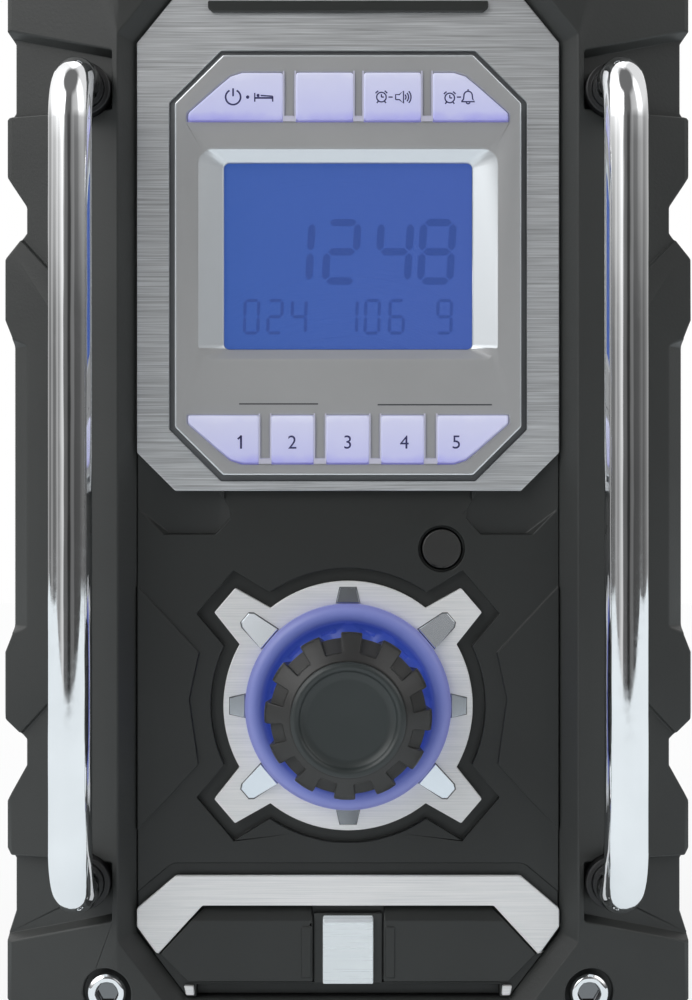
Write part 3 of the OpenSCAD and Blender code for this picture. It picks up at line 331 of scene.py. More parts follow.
@contextlib.contextmanager
def edited(mesh):
    """Opens a mesh as a bmesh and writes it back at the end."""
    form = bmesh.new()
    form.from_mesh(mesh)
    yield form
    form.to_mesh(mesh)
    form.free()


def coordinates(mesh):
    """The mesh's points as an array of shape (count, 3)."""
    points = np.empty(len(mesh.vertices) * 3)
    mesh.vertices.foreach_get("co", points)
    return points.reshape(-1, 3)


def move_points(mesh, points):
    """Gives the mesh new places for its points."""
    mesh.vertices.foreach_set("co", points.ravel())
    mesh.update()


def turn_back(mesh):
    """Turns faces that the rounding folded over, whose normal opposes the sum of their
    corners' normals, and drops the corner normals."""
    corners = np.empty(len(mesh.loops) * 3)
    mesh.corner_normals.foreach_get("vector", corners)
    starts = np.empty(len(mesh.polygons), int)
    mesh.polygons.foreach_get("loop_start", starts)
    facing = np.empty(len(mesh.polygons) * 3)
    mesh.polygons.foreach_get("normal", facing)
    sums = np.add.reduceat(corners.reshape(-1, 3), starts, axis=0)
    folded = np.flatnonzero((sums * facing.reshape(-1, 3)).sum(1) < 0)
    mesh.attributes.remove(mesh.attributes["custom_normal"])
    with edited(mesh) as form:
        form.faces.ensure_lookup_table()
        for number in folded:
            form.faces[number].normal_flip()


sharp_angle = math.radians(28)


def round_edges(piece, width, steps):
    """Rounds the edges sharper than sharp_angle by width, in steps, while the flat faces
    keep their normals."""
    rounding = piece.modifiers.new("edges", "BEVEL")
    rounding.width = width
    rounding.segments = steps
    rounding.limit_method = "ANGLE"
    rounding.angle_limit = sharp_angle
    rounding.use_clamp_overlap = False
    rounding.harden_normals = True
    rounding.miter_outer = "MITER_ARC"
    rounding.face_strength_mode = "FSTR_ALL"
    piece.data = finished(piece)
    turn_back(piece.data)
    levelling = piece.modifiers.new("flats", "WEIGHTED_NORMAL")
    levelling.mode = "FACE_AREA"
    levelling.weight = 100
    levelling.keep_sharp = True
    levelling.use_face_influence = True
    piece.data = finished(piece)


def eased(node, material, slot, width, steps=2, merged=2e-6):
    """Stands for a CAD node: a copy of its mesh with points nearer than merged joined and
    its edges rounded. Points that the rounding pushes out of the node's box come back to
    it. With no width the copy only loses its imported normals."""
    mesh = frame["nodes"][node].data.copy()
    with edited(mesh) as form:
        bmesh.ops.remove_doubles(form, verts=form.verts, dist=merged)
    mesh.shade_smooth()
    mesh.set_sharp_from_angle(angle=sharp_angle)
    piece = bpy.data.objects.new(node + "_eased", mesh)
    bpy.context.scene.collection.objects.link(piece)
    if width:
        round_edges(piece, width, steps)
        move_points(piece.data, np.clip(coordinates(piece.data), *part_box(node)))
    elif "custom_normal" in mesh.attributes:
        mesh.attributes.remove(mesh.attributes["custom_normal"])
    return fitted(piece, material, slot, body_of(node), node)


armour = moulded("armour_rubber", srgb(52, 54, 53), 0.5)
for jacket in ("front_bumper", "rear_bumper"):
    eased(jacket, armour, "bumper", 0.00045, merged=1e-4)

# ==== Housing ======================================================================
# The hard ABS shells under the armour, the speaker walls and the battery bay: darker
# than the rubber, with a slight shine.
abs_black = moulded("abs_black", srgb(38, 38, 39), 0.42, depth=0.00003)
for shell in ("front_housing", "rear_housing", "speaker_baffles", "battery_tray"):
    eased(shell, abs_black, "housing", 0.0002)

# ==== Control panel ================================================================
# One soft-touch moulding behind everything in the column, with pockets for the plate,
# the dial and the covers.
panel_rubber = moulded("panel_rubber", srgb(41, 43, 42), 0.46, grain=1800, depth=0.00002)
eased("control_panel", panel_rubber, "panel", 0.00025)

# ==== Brushed trims ================================================================
# Aluminium plates brushed from side to side: long fine scratches that spread the
# reflections up and down.


def brushed(name, colour, roughness, contrast, metallic):
    """Metal brushed along X: noise stretched into streaks sets the shade and the bump."""
    material, tree, surface = new_material(name)
    surface.inputs["Metallic"].default_value = metallic
    streaks = noise(tree, place(tree, (0.012, 1, 1)), 5200, 2)
    bands = noise(tree, place(tree, (0.01, 1, 1)), 2400, 3)
    blend = maths(tree, "MULTIPLY_ADD", streaks, 0.65,
                  maths(tree, "MULTIPLY", bands, 0.35))
    metal = np.array(colour)
    link(tree, ramp(tree, blend, [(0.34, tuple(metal * (1 - contrast))),
                                  (0.66, tuple(np.minimum(metal * (1 + contrast), 1)))]),
         surface.inputs["Base Color"])
    link(tree, shift_range(tree, blend, roughness - 0.06, roughness + 0.08),
         surface.inputs["Roughness"])
    bump(tree, surface, streaks, 0.0001 * contrast)
    return material


brushed_metal = brushed("brushed_metal", srgb(214, 216, 218), 0.4, 0.27, 0.6)
bright_metal = brushed("bright_metal", srgb(250, 252, 253), 0.42, 0.12, 0.25)
eased("brushed_plate", brushed_metal, "brushed_metal", 0.00025)
for trim in ("lower_trim", "dial_plate"):
    eased(trim, bright_metal, "brushed_metal", 0.00025)
bright_strip = brushed("bright_strip", srgb(244, 251, 255), 0.3, 0.02, 0.3)
eased("centre_strip", bright_strip, "bright_strip", 0.00025)
badge_paint = moulded("badge_paint", srgb(52, 54, 53), 0.35, grain=2500, depth=0.00001)
eased("badge_plate", badge_paint, "dark_trim", 0.0003)

# ==== Display ======================================================================
# A silver-painted housing with a polished dished frame round the window, a clear window,
# and behind it the blue display with its darker segments.
silver_paint = moulded("silver_paint", srgb(178, 179, 180), 0.42, grain=3000,
                       depth=0.00001, uneven=0.03)
tree = silver_paint.node_tree
surface = tree.nodes["Principled BSDF"]
paint = surface.inputs["Base Color"].links[0].from_socket


def axes(tree, centre=(0, 0, 0)):
    """Object coordinates from a centre as three outputs named X, Y and Z."""
    node = tree.nodes.new("ShaderNodeSeparateXYZ")
    link(tree, place(tree, centre=centre), node.inputs[0])
    return node.outputs


def beyond_box(tree, spot, half, corner=0):
    """How far |x| and |z| lie past a rectangle of half sizes less a corner radius."""
    return [maths(tree, "SUBTRACT", maths(tree, "ABSOLUTE", spot[axis]), size - corner)
            for axis, size in zip("XZ", half)]


def rounded_distance(tree, spot, half, corner):
    """Distance from a rectangle with rounded corners: the length of what |x| and |z| have
    past the box of the corners' centres, less the corners' radius."""
    squares = [maths(tree, "POWER", maths(tree, "MAXIMUM", past, 0.0), 2.0)
               for past in beyond_box(tree, spot, half, corner)]
    return maths(tree, "SUBTRACT", maths(tree, "SQRT", maths(tree, "ADD", *squares)),
                 corner)


def octagon_distance(tree, spot, half, cut):
    """Distance from a rectangle with cut corners, near its edge: the largest of |x| and
    |z| less their half sizes, and of the distance past the line that cuts the corner."""
    beyond_x, beyond_z = beyond_box(tree, spot, half)
    past_cut = maths(tree, "ADD", maths(tree, "ADD", beyond_x, beyond_z), cut)
    slant = maths(tree, "MULTIPLY", past_cut, math.sqrt(0.5))
    return maths(tree, "MAXIMUM", maths(tree, "MAXIMUM", beyond_x, beyond_z), slant)


# Two places are painted brighter and shinier. One is the frame round the window, polished
# down to its sill; below the sill the frame's lower slope keeps the darker paint, as
# painted shade. The other is a thin line along the housing's rim, a painted highlight on
# its edge.
lens_low, lens_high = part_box("display_lens")
lens_spot = axes(tree, (lens_low + lens_high) / 2)
frame_half, frame_corner, sill, rim = (0.036, 0.0255), 0.0036, 0.0012, 0.00042
inside = maths(tree, "LESS_THAN",
               rounded_distance(tree, lens_spot, frame_half, frame_corner), 0.0)
# The polish stops at the sill, so that the frame's lower slope stays darker: painted
# shade.
above_sill = maths(tree, "GREATER_THAN", lens_spot["Z"],
                   (lens_low.z - lens_high.z) / 2 + sill)
in_frame = maths(tree, "MULTIPLY", inside, above_sill)
housing_low, housing_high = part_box("display_housing")
housing_middle = (housing_low + housing_high) / 2
housing_half, housing_cut = np.array([0.0417, 0.0505]), 0.0116
rim_distance = octagon_distance(tree, axes(tree, housing_middle),
                                housing_half.tolist(), housing_cut)
# A painted highlight: a thin bright line along the housing's rim.
painted_rim_highlight = maths(tree, "GREATER_THAN", rim_distance, -rim)
polish_and_painted_highlight = maths(tree, "MAXIMUM", in_frame, painted_rim_highlight)
link(tree, mixed(tree, polish_and_painted_highlight, paint, srgb(238, 243, 247)),
     surface.inputs["Base Color"])
link(tree, maths(tree, "MULTIPLY_ADD", polish_and_painted_highlight, 0.32, 0.18), surface.inputs["Metallic"])
link(tree, maths(tree, "MULTIPLY_ADD", polish_and_painted_highlight, -0.14, 0.4),
     surface.inputs["Roughness"])
eased("display_housing", silver_paint, "silver_paint", 0.0004, 3)

# A grey seal lies in the groove between the housing and the brushed plate: two octagons
# round the housing's. One that lies further out by a width has a cut larger by
# cut_growth times that width, which is 2 less the root of 2.
seal_rubber = moulded("seal_rubber", srgb(90, 92, 94), 0.5, grain=2000, depth=0.00001)
plate_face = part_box("brushed_plate")[0].y
cut_growth = 0.586
rings = []
for grow, depth in ((0.0001, 0.0004), (0.0016, 0.0008)):
    w, h = housing_half + grow
    c = housing_cut + cut_growth * grow
    outline = np.array([[w - c, -h], [w, c - h], [w, h - c], [w - c, h],
                        [c - w, h], [-w, h - c], [-w, c - h], [c - w, -h]])
    rings.append(np.column_stack([outline[:, 0], np.full(8, plate_face + depth),
                                  outline[:, 1] + housing_middle.z]))
seal = surface_mesh("display_seal", [np.stack(rings)], closed=True)
fitted(bpy.data.objects.new("display_seal", seal), seal_rubber, "bush_rubber",
       body_of("display_housing"))

blue_glow, tree, surface = new_material("display_blue")
surface.inputs["Roughness"].default_value = 0.4
surface.inputs["Base Color"].default_value = (*srgb(40, 60, 120), 1)
surface.inputs["Emission Strength"].default_value = 0.85
lcd_low, lcd_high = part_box("lcd_module")
across = maths(tree, "DIVIDE", maths(tree, "SUBTRACT", axes(tree)["X"], lcd_low.x),
               lcd_high.x - lcd_low.x)
link(tree, ramp(tree, across, [(0, srgb(50, 87, 160)), (1, srgb(62, 88, 162))]),
     surface.inputs["Emission Color"])
eased("lcd_module", blue_glow, "lcd", 0)


def printed(name, outlines, front, material, slot, body):
    """Flat print on a face towards -Y: every outline is a counterclockwise list of
    (x, z) points in metres, laid at y = front."""
    points, faces, count = [], [], 0
    for outline in outlines:
        flat = np.asarray(outline, float)
        depth = np.full(len(flat), front)
        points.append(np.column_stack([flat[:, 0], depth, flat[:, 1]]))
        faces.append(list(range(count, count + len(flat))))
        count += len(flat)
    mesh = bpy.data.meshes.new(name)
    mesh.from_pydata(np.concatenate(points), [], faces)
    fitted(bpy.data.objects.new(name, mesh), material, slot, body)


def segment(x0, z0, x1, z1, wide):
    """One display segment from end to end: a bar with pointed ends."""
    ends = np.array([[x0, z0], [x1, z1]])
    along = (ends[1] - ends[0]) / np.linalg.norm(ends[1] - ends[0])
    side = np.array([-along[1], along[0]]) * wide / 2
    tip = along * wide / 2
    return [ends[0], ends[0] + tip - side, ends[1] - tip - side, ends[1],
            ends[1] - tip + side, ends[0] + tip + side]


def seven_segments(digit, x, z, wide, tall, thick, lean=0.06):
    """The segments of a digit whose lower left corner is (x, z), leaning to the right."""
    lit = {"0": "abcdef", "1": "bc", "2": "abdeg", "3": "abcdg", "4": "bcfg",
           "5": "acdfg", "6": "acdefg", "7": "abc", "8": "abcdefg", "9": "abcdfg"}[digit]
    gap = thick * 0.14
    left, right = thick / 2, wide - thick / 2
    low, mid, high = thick / 2, tall / 2, tall - thick / 2
    ends = {"a": (left + gap, high, right - gap, high),
            "b": (right, mid + gap, right, high - gap),
            "c": (right, low + gap, right, mid - gap),
            "d": (left + gap, low, right - gap, low),
            "e": (left, low + gap, left, mid - gap),
            "f": (left, mid + gap, left, high - gap),
            "g": (left + gap, mid, right - gap, mid)}
    bars = [np.array(segment(*ends[key], thick)) for key in lit]
    return [np.column_stack([x + bar[:, 0] + lean * bar[:, 1], z + bar[:, 1]])
            for bar in bars]


dark_segments = moulded("lcd_segments", srgb(30, 44, 92), 0.4, grain=3000, depth=0)
surface = dark_segments.node_tree.nodes["Principled BSDF"]
surface.inputs["Emission Color"].default_value = (*srgb(40, 70, 142), 1)
surface.inputs["Emission Strength"].default_value = 0.85

# Large digits stand over a row of small ones.
lines = []
for digit, x in zip("1248", (-0.0176, -0.0065, 0.0063, 0.0166)):
    lines += seven_segments(digit, x, 0.1868, 0.0089, 0.016, 0.0018)
for digit, x in zip("0241069", (-0.0256, -0.0199, -0.0141, -0.0017, 0.0037, 0.0096,
                                0.0212)):
    lines += seven_segments(digit, x, 0.1747, 0.0041, 0.0087, 0.0008, 0.03)
digit_lift = 0.00004
printed("lcd_digits", lines, lcd_low.y - digit_lift, dark_segments, "lcd",
        body_of("lcd_module"))

clear, tree, surface = new_material("clear_window")
surface.inputs["Base Color"].default_value = (*srgb(120, 140, 190), 1)
surface.inputs["Alpha"].default_value = 0.12
link(tree, shift_range(tree, noise(tree, place(tree), 60, 3), 0.08, 0.16),
     surface.inputs["Roughness"])
eased("display_lens", clear, "lens", 0)

# ==== Keys =========================================================================
# Translucent silicone keys lit from behind, joined at their feet, with numbers and
# pictograms printed in dark blue.
key_plastic, tree, surface = new_material("key_plastic")
surface.inputs["Roughness"].default_value = 0.28
surface.inputs["Emission Strength"].default_value = 0.4

# The light falls off towards the lower edge of each row of keys.
up = axes(tree)["Z"]
lower_low, lower_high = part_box("preset_key_3")
upper_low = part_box("radio_alarm_key")[0]
in_upper = maths(tree, "GREATER_THAN", up, (lower_high.z + upper_low.z) / 2)
row_foot = maths(tree, "MULTIPLY_ADD", in_upper, upper_low.z - lower_low.z, lower_low.z)
lit = maths(tree, "DIVIDE", maths(tree, "SUBTRACT", up, row_foot),
            lower_high.z - lower_low.z)
cloud = maths(tree, "MULTIPLY_ADD", noise(tree, place(tree), 160, 2), 0.24,
              maths(tree, "SUBTRACT", lit, 0.12))
link(tree, ramp(tree, cloud, [(0, srgb(150, 150, 216)), (0.22, srgb(186, 188, 226)),
                              (0.8, srgb(196, 198, 228)), (1, srgb(214, 216, 240))]),
     surface.inputs["Base Color"])
link(tree, ramp(tree, cloud, [(0, srgb(146, 144, 216)), (0.25, srgb(180, 182, 216)),
                              (0.8, srgb(192, 194, 216)), (1, srgb(208, 210, 230))]),
     surface.inputs["Emission Color"])
keys = ["power_key", "source_key", "radio_alarm_key", "buzzer_alarm_key"]
keys += [f"preset_key_{number}" for number in range(1, 6)]
for key in keys:
    eased(key, key_plastic, "key", 0.0005, 3)

# A thin web between two keys: a low strip across the gap and a lip up each side of it.
feet_plastic = moulded("key_feet", srgb(214, 214, 232), 0.3, grain=2000, depth=0.00001)
sunk, proud = housing_low.y + 0.0002, housing_low.y - 0.0005
grids = []
for row in (keys[:4], keys[4:]):
    for one, other in zip(row, row[1:]):
        left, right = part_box(one)[1].x - 0.0006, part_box(other)[0].x + 0.0006
        low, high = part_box(one)[0].z + 0.0008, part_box(one)[1].z - 0.0006
        for ends, top in (((left, right), low + 0.0012), ((left - 0.0004, left), high),
                          ((right, right + 0.0004), high)):
            profile = np.array([[sunk, low], [proud, low], [proud, top],
                                [sunk, top + 0.0003]])
            grids.append(np.stack([np.column_stack([np.full(4, x), profile])
                                   for x in ends]))
webs = surface_mesh("key_feet", grids)
webs.flip_normals()
fitted(bpy.data.objects.new("key_feet", webs), feet_plastic, "key",
       body_of("display_housing"))

ink = moulded("dark_ink", srgb(46, 46, 104), 0.5, grain=2000, depth=0)


def stroke(points, wide):
    """A line of one width along points (x, z): each point moves half the width to both
    sides, square to the line through its neighbours. Returns one outline per stretch."""
    line = np.asarray(points, float)
    ahead = np.gradient(line, axis=0)
    ahead /= np.linalg.norm(ahead, axis=1, keepdims=True)
    side = np.column_stack([-ahead[:, 1], ahead[:, 0]]) * wide / 2
    right, left = line - side, line + side
    return [np.array(four) for four in zip(right, right[1:], left[1:], left)]


def arc(x, z, radius, start, end, count=24):
    """Points on a circle about (x, z) from one angle to another, in degrees from +X."""
    angle = np.radians(np.linspace(start, end, count))
    return np.column_stack([x + radius * np.cos(angle), z + radius * np.sin(angle)])


def bar(x0, z0, x1, z1, wide):
    """A straight line of one width."""
    return stroke([(x0, z0), (x1, z1)], wide)


def clock(x, z, radius, wide):
    """An alarm clock: a round face with two hands, two bells and two feet."""
    lines = stroke(arc(x, z, radius, 0, 360), wide)
    lines += bar(x, z, x, z + radius * 0.62, wide) + bar(x, z, x + radius * 0.5, z, wide)
    for side in (-1, 1):
        middle = 90 - side * 42
        lines += stroke(arc(x, z, radius * 1.45, middle - 15, middle + 15, 6), wide)
        lines += bar(x + side * radius * 0.62, z - radius * 0.8,
                     x + side * radius * 0.95, z - radius * 1.25, wide)
    return lines


def speaker_sign(x, z, wide):
    """A loudspeaker with three sound waves, from its back edge at x."""
    horn = [(x, z - 0.0006), (x + 0.0009, z - 0.0006), (x + 0.0019, z - 0.0015),
            (x + 0.0019, z + 0.0015), (x + 0.0009, z + 0.0006), (x, z + 0.0006),
            (x, z - 0.0006)]
    lines = stroke(horn, wide)
    for radius in (0.0009, 0.0015, 0.0021):
        lines += stroke(arc(x + 0.0016, z, radius, -42, 42, 12), wide)
    return lines


def bell_sign(x, z, wide):
    """A bell with its clapper about (x, z)."""
    rim = [(x - 0.0016, z - 0.0011), (x - 0.0011, z - 0.0005), (x - 0.001, z + 0.0004)]
    dome = arc(x, z + 0.0004, 0.001, 180, 0, 14)
    line = np.concatenate([rim, dome, [(x + 0.001, z + 0.0004), (x + 0.0011, z - 0.0005),
                                       (x + 0.0016, z - 0.0011),
                                       (x - 0.0016, z - 0.0011)]])
    moves = np.r_[True, np.abs(np.diff(line, axis=0)).sum(1) > 0]
    return (stroke(line[moves], wide)
            + stroke(arc(x, z - 0.0011, 0.0005, 200, 340, 8), wide)
            + bar(x, z + 0.0014, x, z + 0.0019, wide))


def bed_sign(x, z, wide):
    """A bed with a pillow and a sleeper, from its head board at x."""
    lines = bar(x, z - 0.0011, x, z + 0.001, wide)
    lines += bar(x, z - 0.0002, x + 0.0043, z - 0.0002, wide * 1.3)
    lines += bar(x + 0.0043, z - 0.0011, x + 0.0043, z + 0.0002, wide)
    lines += stroke(arc(x + 0.0008, z + 0.0004, 0.0002, 0, 360, 12), wide * 1.2)
    return lines + bar(x + 0.0014, z + 0.0004, x + 0.0043, z + 0.0002, wide)


ink_lift = 0.00003


def print_key(key, lines):
    """Prints lines a hair before a key's face, on its body, so that they move with it."""
    printed(key + "_print", lines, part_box(key)[0].y - ink_lift, ink, None, body_of(key))


thin = 0.00032
line_z = 0.2313
print_key("power_key",
          stroke(arc(-0.0276, line_z, 0.0018, 118, 422, 40), thin * 1.3)
          + bar(-0.0276, line_z + 0.0002, -0.0276, line_z + 0.0021, thin * 1.3)
          + stroke(arc(-0.0241, line_z, 0.00022, 0, 360, 14), 0.0004)
          + bed_sign(-0.0224, line_z, thin))
print_key("radio_alarm_key",
          clock(0.008, line_z, 0.00115, thin) + bar(0.0097, line_z, 0.0107, line_z, thin)
          + speaker_sign(0.0114, line_z, thin))
print_key("buzzer_alarm_key",
          clock(0.0244, line_z - 0.0002, 0.00115, thin)
          + bar(0.0261, line_z, 0.0271, line_z, thin) + bell_sign(0.0288, line_z, thin))


def flat_text(text, x, z, tall, front):
    """A text as a flat mesh towards -Y, centred on (x, z), tall metres high."""
    digit_height = 0.7  # of the font's size
    curve = bpy.data.curves.new("text", "FONT")
    curve.body = text
    curve.size = tall / digit_height
    curve.align_x = "CENTER"
    letters = bpy.data.objects.new("text", curve)
    bpy.context.scene.collection.objects.link(letters)
    mesh = finished(letters)
    bpy.data.objects.remove(letters)
    flat = coordinates(mesh)
    middle = (flat.min(0) + flat.max(0)) / 2
    move_points(mesh, np.column_stack([flat[:, 0] - middle[0] + x,
                                       np.full(len(flat), front),
                                       flat[:, 1] - middle[1] + z]))
    return mesh


# The 1 is drawn with two strokes; the other numbers are set in the built-in font.
print_key("preset_key_1", bar(-0.0257, 0.1469, -0.0257, 0.1501, 0.0005)
          + bar(-0.0257, 0.1499, -0.0265, 0.1492, 0.0004))
for number, x in zip(range(2, 6), (-0.0134, -0.0001, 0.0135, 0.02597)):
    key = f"preset_key_{number}"
    digit = flat_text(str(number), x, 0.1485, 0.0032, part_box(key)[0].y - ink_lift)
    fitted(bpy.data.objects.new(key + "_number", digit), ink, None, body_of(key))

# Two fine rules are printed on the housing's face over the presets.
rule_ink = moulded("rule_ink", srgb(58, 60, 66), 0.5, grain=2000, depth=0)
printed("panel_rules", bar(-0.0262, 0.1577, -0.0072, 0.1577, 0.0003)
        + bar(0.0071, 0.1575, 0.0346, 0.1575, 0.0003), housing_low.y - ink_lift, rule_ink,
        None, body_of("display_housing"))

# ==== Dial and knob ================================================================
# A translucent violet light ring round a castellated rubber knob with a dished cap, and
# polished inserts let into the dial plate.
knob_rubber = moulded("knob_rubber", srgb(52, 52, 51), 0.4, grain=2200, depth=0.00002)
eased("volume_knob", knob_rubber, "knob_rubber", 0.0003)
eased("info_key", knob_rubber, "knob_rubber", 0.0003)
cap_rubber = moulded("cap_rubber", srgb(50, 56, 56), 0.36, grain=2600, depth=0.00001)
cap = eased("knob_cap", cap_rubber, "cap_rubber", 0)
ring_low, ring_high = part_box("light_ring")
dial_z = (ring_low.z + ring_high.z) / 2
ring_r = (ring_high.z - ring_low.z) / 2

# The middle of the cap's dish is raised until its floor is level.
points = coordinates(cap.data)
off_axis = np.hypot(points[:, 0], points[:, 2] - dial_z)
dish = (off_axis < 0.001) & (points[:, 1] < points[:, 1].mean())
points[dish, 1] -= 0.0002
move_points(cap.data, points)


def distance(tree, stretch, centre):
    """Distance from a centre over the axes whose stretch is 1; the others have 0."""
    node = tree.nodes.new("ShaderNodeVectorMath")
    node.operation = "LENGTH"
    link(tree, place(tree, stretch, centre), node.inputs[0])
    return node.outputs["Value"]


# The ring glows deepest where it dips towards the knob.
ring_plastic, tree, surface = new_material("ring_plastic")
surface.inputs["Roughness"].default_value = 0.32
surface.inputs["Emission Strength"].default_value = 0.33
out = maths(tree, "DIVIDE", distance(tree, (1, 0, 1), (0, 0, dial_z)), ring_r)
cloud = maths(tree, "MULTIPLY_ADD", noise(tree, place(tree), 90, 2), 0.02, out)
link(tree, ramp(tree, cloud, [(0.72, srgb(66, 92, 182)), (0.81, srgb(66, 92, 186)),
                              (0.86, srgb(118, 132, 198)), (0.97, srgb(138, 146, 198)),
                              (1, srgb(132, 138, 192))]), surface.inputs["Base Color"])
link(tree, ramp(tree, cloud, [(0.72, srgb(60, 82, 178)), (0.81, srgb(56, 78, 182)),
                              (0.86, srgb(84, 98, 182)), (1, srgb(92, 98, 176))]),
     surface.inputs["Emission Color"])
eased("light_ring", ring_plastic, "light_ring", 0)

# Each insert is a tapered block let into the plate, with a dark gap round it. The tops
# fall outwards, apart from the lowest one's, and the small ones lean a little upwards.
marker_metal, tree, surface = new_material("marker_metal")
surface.inputs["Metallic"].default_value = 0.9
link(tree, ramp(tree, noise(tree, place(tree), 60, 2),
                [(0.3, srgb(226, 232, 238)), (0.7, srgb(234, 240, 246))]),
     surface.inputs["Base Color"])
link(tree, shift_range(tree, noise(tree, place(tree), 80, 2), 0.14, 0.2),
     surface.inputs["Roughness"])


def about_dial(outline, angle):
    """Points (x, z) of an outline given as (out from the dial's axis, along its edge),
    turned by angle about that axis."""
    out, along = outline.T
    return np.column_stack([out * math.cos(angle) - along * math.sin(angle),
                            out * math.sin(angle) + along * math.cos(angle) + dial_z])


front, back = (corner.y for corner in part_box("dial_markers"))
root, reach = 0.025, 0.0078
lug = np.array([[0.025, -0.0031], [0.0318, -0.0022], [0.0328, -0.0014],
                [0.0328, 0.0014], [0.0318, 0.0022], [0.025, 0.0031]])
small = np.array([[0.025, -0.0028], [0.0286, -0.0019], [0.0286, 0.0019],
                  [0.025, 0.0028]])

# Each row: outline, degrees, how far its top stands proud, its fall and its lean.
inserts = [(small, 0, 0.0002, 0.0004, 0.02), (small, 90, 0.0002, 0.0004, 0.02),
           (small, 180, 0.0002, 0.0004, 0.02), (small, 270, 0.0002, -0.0004, 0.02)]
inserts += [(lug, angle, 0.0013, 0.0017, 0) for angle in (40.5, 139.5, 220.5, -40.5)]
grids, caps, gaps, count = [], [], [], 0
for flat, degrees, proud, fall, lean in inserts:
    angle = math.radians(degrees)
    outwards = (flat[:, 0] - root) / reach
    up = flat[:, 0] * math.sin(angle) + flat[:, 1] * math.cos(angle)
    crown = front - proud + fall * outwards + lean * (up - up.mean())
    eased_top = flat - (flat - flat.mean(0)) * 0.04
    rings = []
    for outline, depth in ((flat, np.full(len(flat), back)), (flat, crown + 0.0001),
                           (eased_top, crown)):
        x, z = about_dial(outline, angle).T
        rings.append(np.column_stack([x, depth, z]))
    grids.append(np.stack(rings))
    gaps.append(about_dial(flat + np.sign(flat - flat.mean(0)) * 0.0002, angle))
    caps.append(range(count + 2 * len(flat), count + 3 * len(flat)))
    count += 3 * len(flat)
blocks = surface_mesh("dial_inserts", grids, closed=True, caps=caps)
with edited(blocks) as form:
    bmesh.ops.recalc_face_normals(form, faces=form.faces)
    for side in form.faces:
        if side.normal.y > 0.8:
            side.normal_flip()
fitted(bpy.data.objects.new("dial_inserts", blocks), marker_metal, "marker_metal",
       body_of("dial_markers"), "dial_markers")
printed("insert_gaps", gaps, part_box("dial_plate")[0].y - 0.00002, seal_rubber, None,
        body_of("dial_plate"))

# ==== Port covers ==================================================================
# Soft moulded covers with plugs that enter the sockets. The two at the front swing on
# living hinges from the anchor under the bright strip; the third is at the rear.
cover_rubber = moulded("cover_rubber", srgb(46, 48, 47), 0.44, grain=1800, depth=0.00002)
for cover in ("aux_cover", "usb_cover", "cover_anchor", "dc_cover"):
    eased(cover, cover_rubber, "cover_rubber", 0.0003)

# ==== Guard bars ===================================================================
# Chromed steel tube bent to a grab bar at each corner, its legs clamped in the case in
# black bushes, and the chromed socket bolts that hold the armour.
chrome, tree, surface = new_material("chrome")
surface.inputs["Metallic"].default_value = 1
link(tree, ramp(tree, noise(tree, place(tree), 70, 2),
                [(0.3, (0.87, 0.88, 0.89)), (0.7, (0.92, 0.93, 0.94))]),
     surface.inputs["Base Color"])
link(tree, shift_range(tree, noise(tree, place(tree), 400, 3), 0.03, 0.09),
     surface.inputs["Roughness"])
bump(tree, surface, noise(tree, place(tree, (1, 1, 0.12)), 180, 3), 0.0001)


bar_sides = 72


def guard_bar(side, end):
    """A circle carried along the bar's axis: leg, quarter bend, upright, quarter bend and
    leg. side is -1 for left and 1 for right, end is -1 for the front and 1 for the rear.
    Each row of the axis holds y, z and the heading in degrees."""
    low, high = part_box("right_guard_bar")
    radius, x = (high.x - low.x) / 2, (low.x + high.x) / 2
    bend = 0.012
    front, back = low.y + radius, high.y
    bottom, top = low.z + radius, high.z - radius
    along = np.linspace(0, 1, 5)[:-1]
    leg = np.column_stack([back + (front + bend - back) * along,
                           np.full(len(along), bottom), np.full(len(along), 180.0)])
    quarter = np.radians(np.linspace(0, 90, 25))
    turn = np.column_stack([front + bend - bend * np.sin(quarter),
                            bottom + bend - bend * np.cos(quarter),
                            180 - np.degrees(quarter)])
    rise = np.linspace(bottom + bend, top - bend, 30)[1:-1]
    upright = np.column_stack([np.full(len(rise), front), rise,
                               np.full(len(rise), 90.0)])
    lower = np.concatenate([leg, turn])
    upper = lower[::-1] * [1, -1, -1] + [0, bottom + top, 180]
    axis = np.concatenate([lower, upright, upper])
    heading = np.radians(axis[:, 2:])
    around = np.radians(np.linspace(0, 360, bar_sides, endpoint=False))
    aside, out = radius * np.sin(around), radius * np.cos(around)
    grid = np.empty((len(axis), bar_sides, 3))
    grid[:, :, 0] = side * (x + aside)
    grid[:, :, 1] = -end * (axis[:, 0:1] - np.sin(heading) * out)
    grid[:, :, 2] = axis[:, 1:2] + np.cos(heading) * out
    return grid


def bar_piece(name, grids, node):
    """One closed mesh from bar surfaces, with both ends of every bar capped."""
    caps, first = [], 0
    for grid in grids:
        last = first + len(grid) * bar_sides
        caps += [range(first, first + bar_sides), range(last - bar_sides, last)]
        first = last
    mesh = surface_mesh(name, grids, closed=True, caps=caps)
    with edited(mesh) as form:
        bmesh.ops.recalc_face_normals(form, faces=form.faces)
    mesh.shade_smooth()
    mesh.set_sharp_from_angle(angle=math.radians(33))
    fitted(bpy.data.objects.new(name, mesh), chrome, "chrome", body_of(node), node)


bar_piece("left_bar", [guard_bar(-1, -1)], "left_guard_bar")
bar_piece("right_bar", [guard_bar(1, -1)], "right_guard_bar")
bar_piece("rear_bars", [guard_bar(-1, 1), guard_bar(1, 1)], "rear_guard_bars")
bush_rubber = moulded("bush_rubber", srgb(24, 24, 25), 0.45)
eased("bar_bushes", bush_rubber, "bush_rubber", 0.0003)
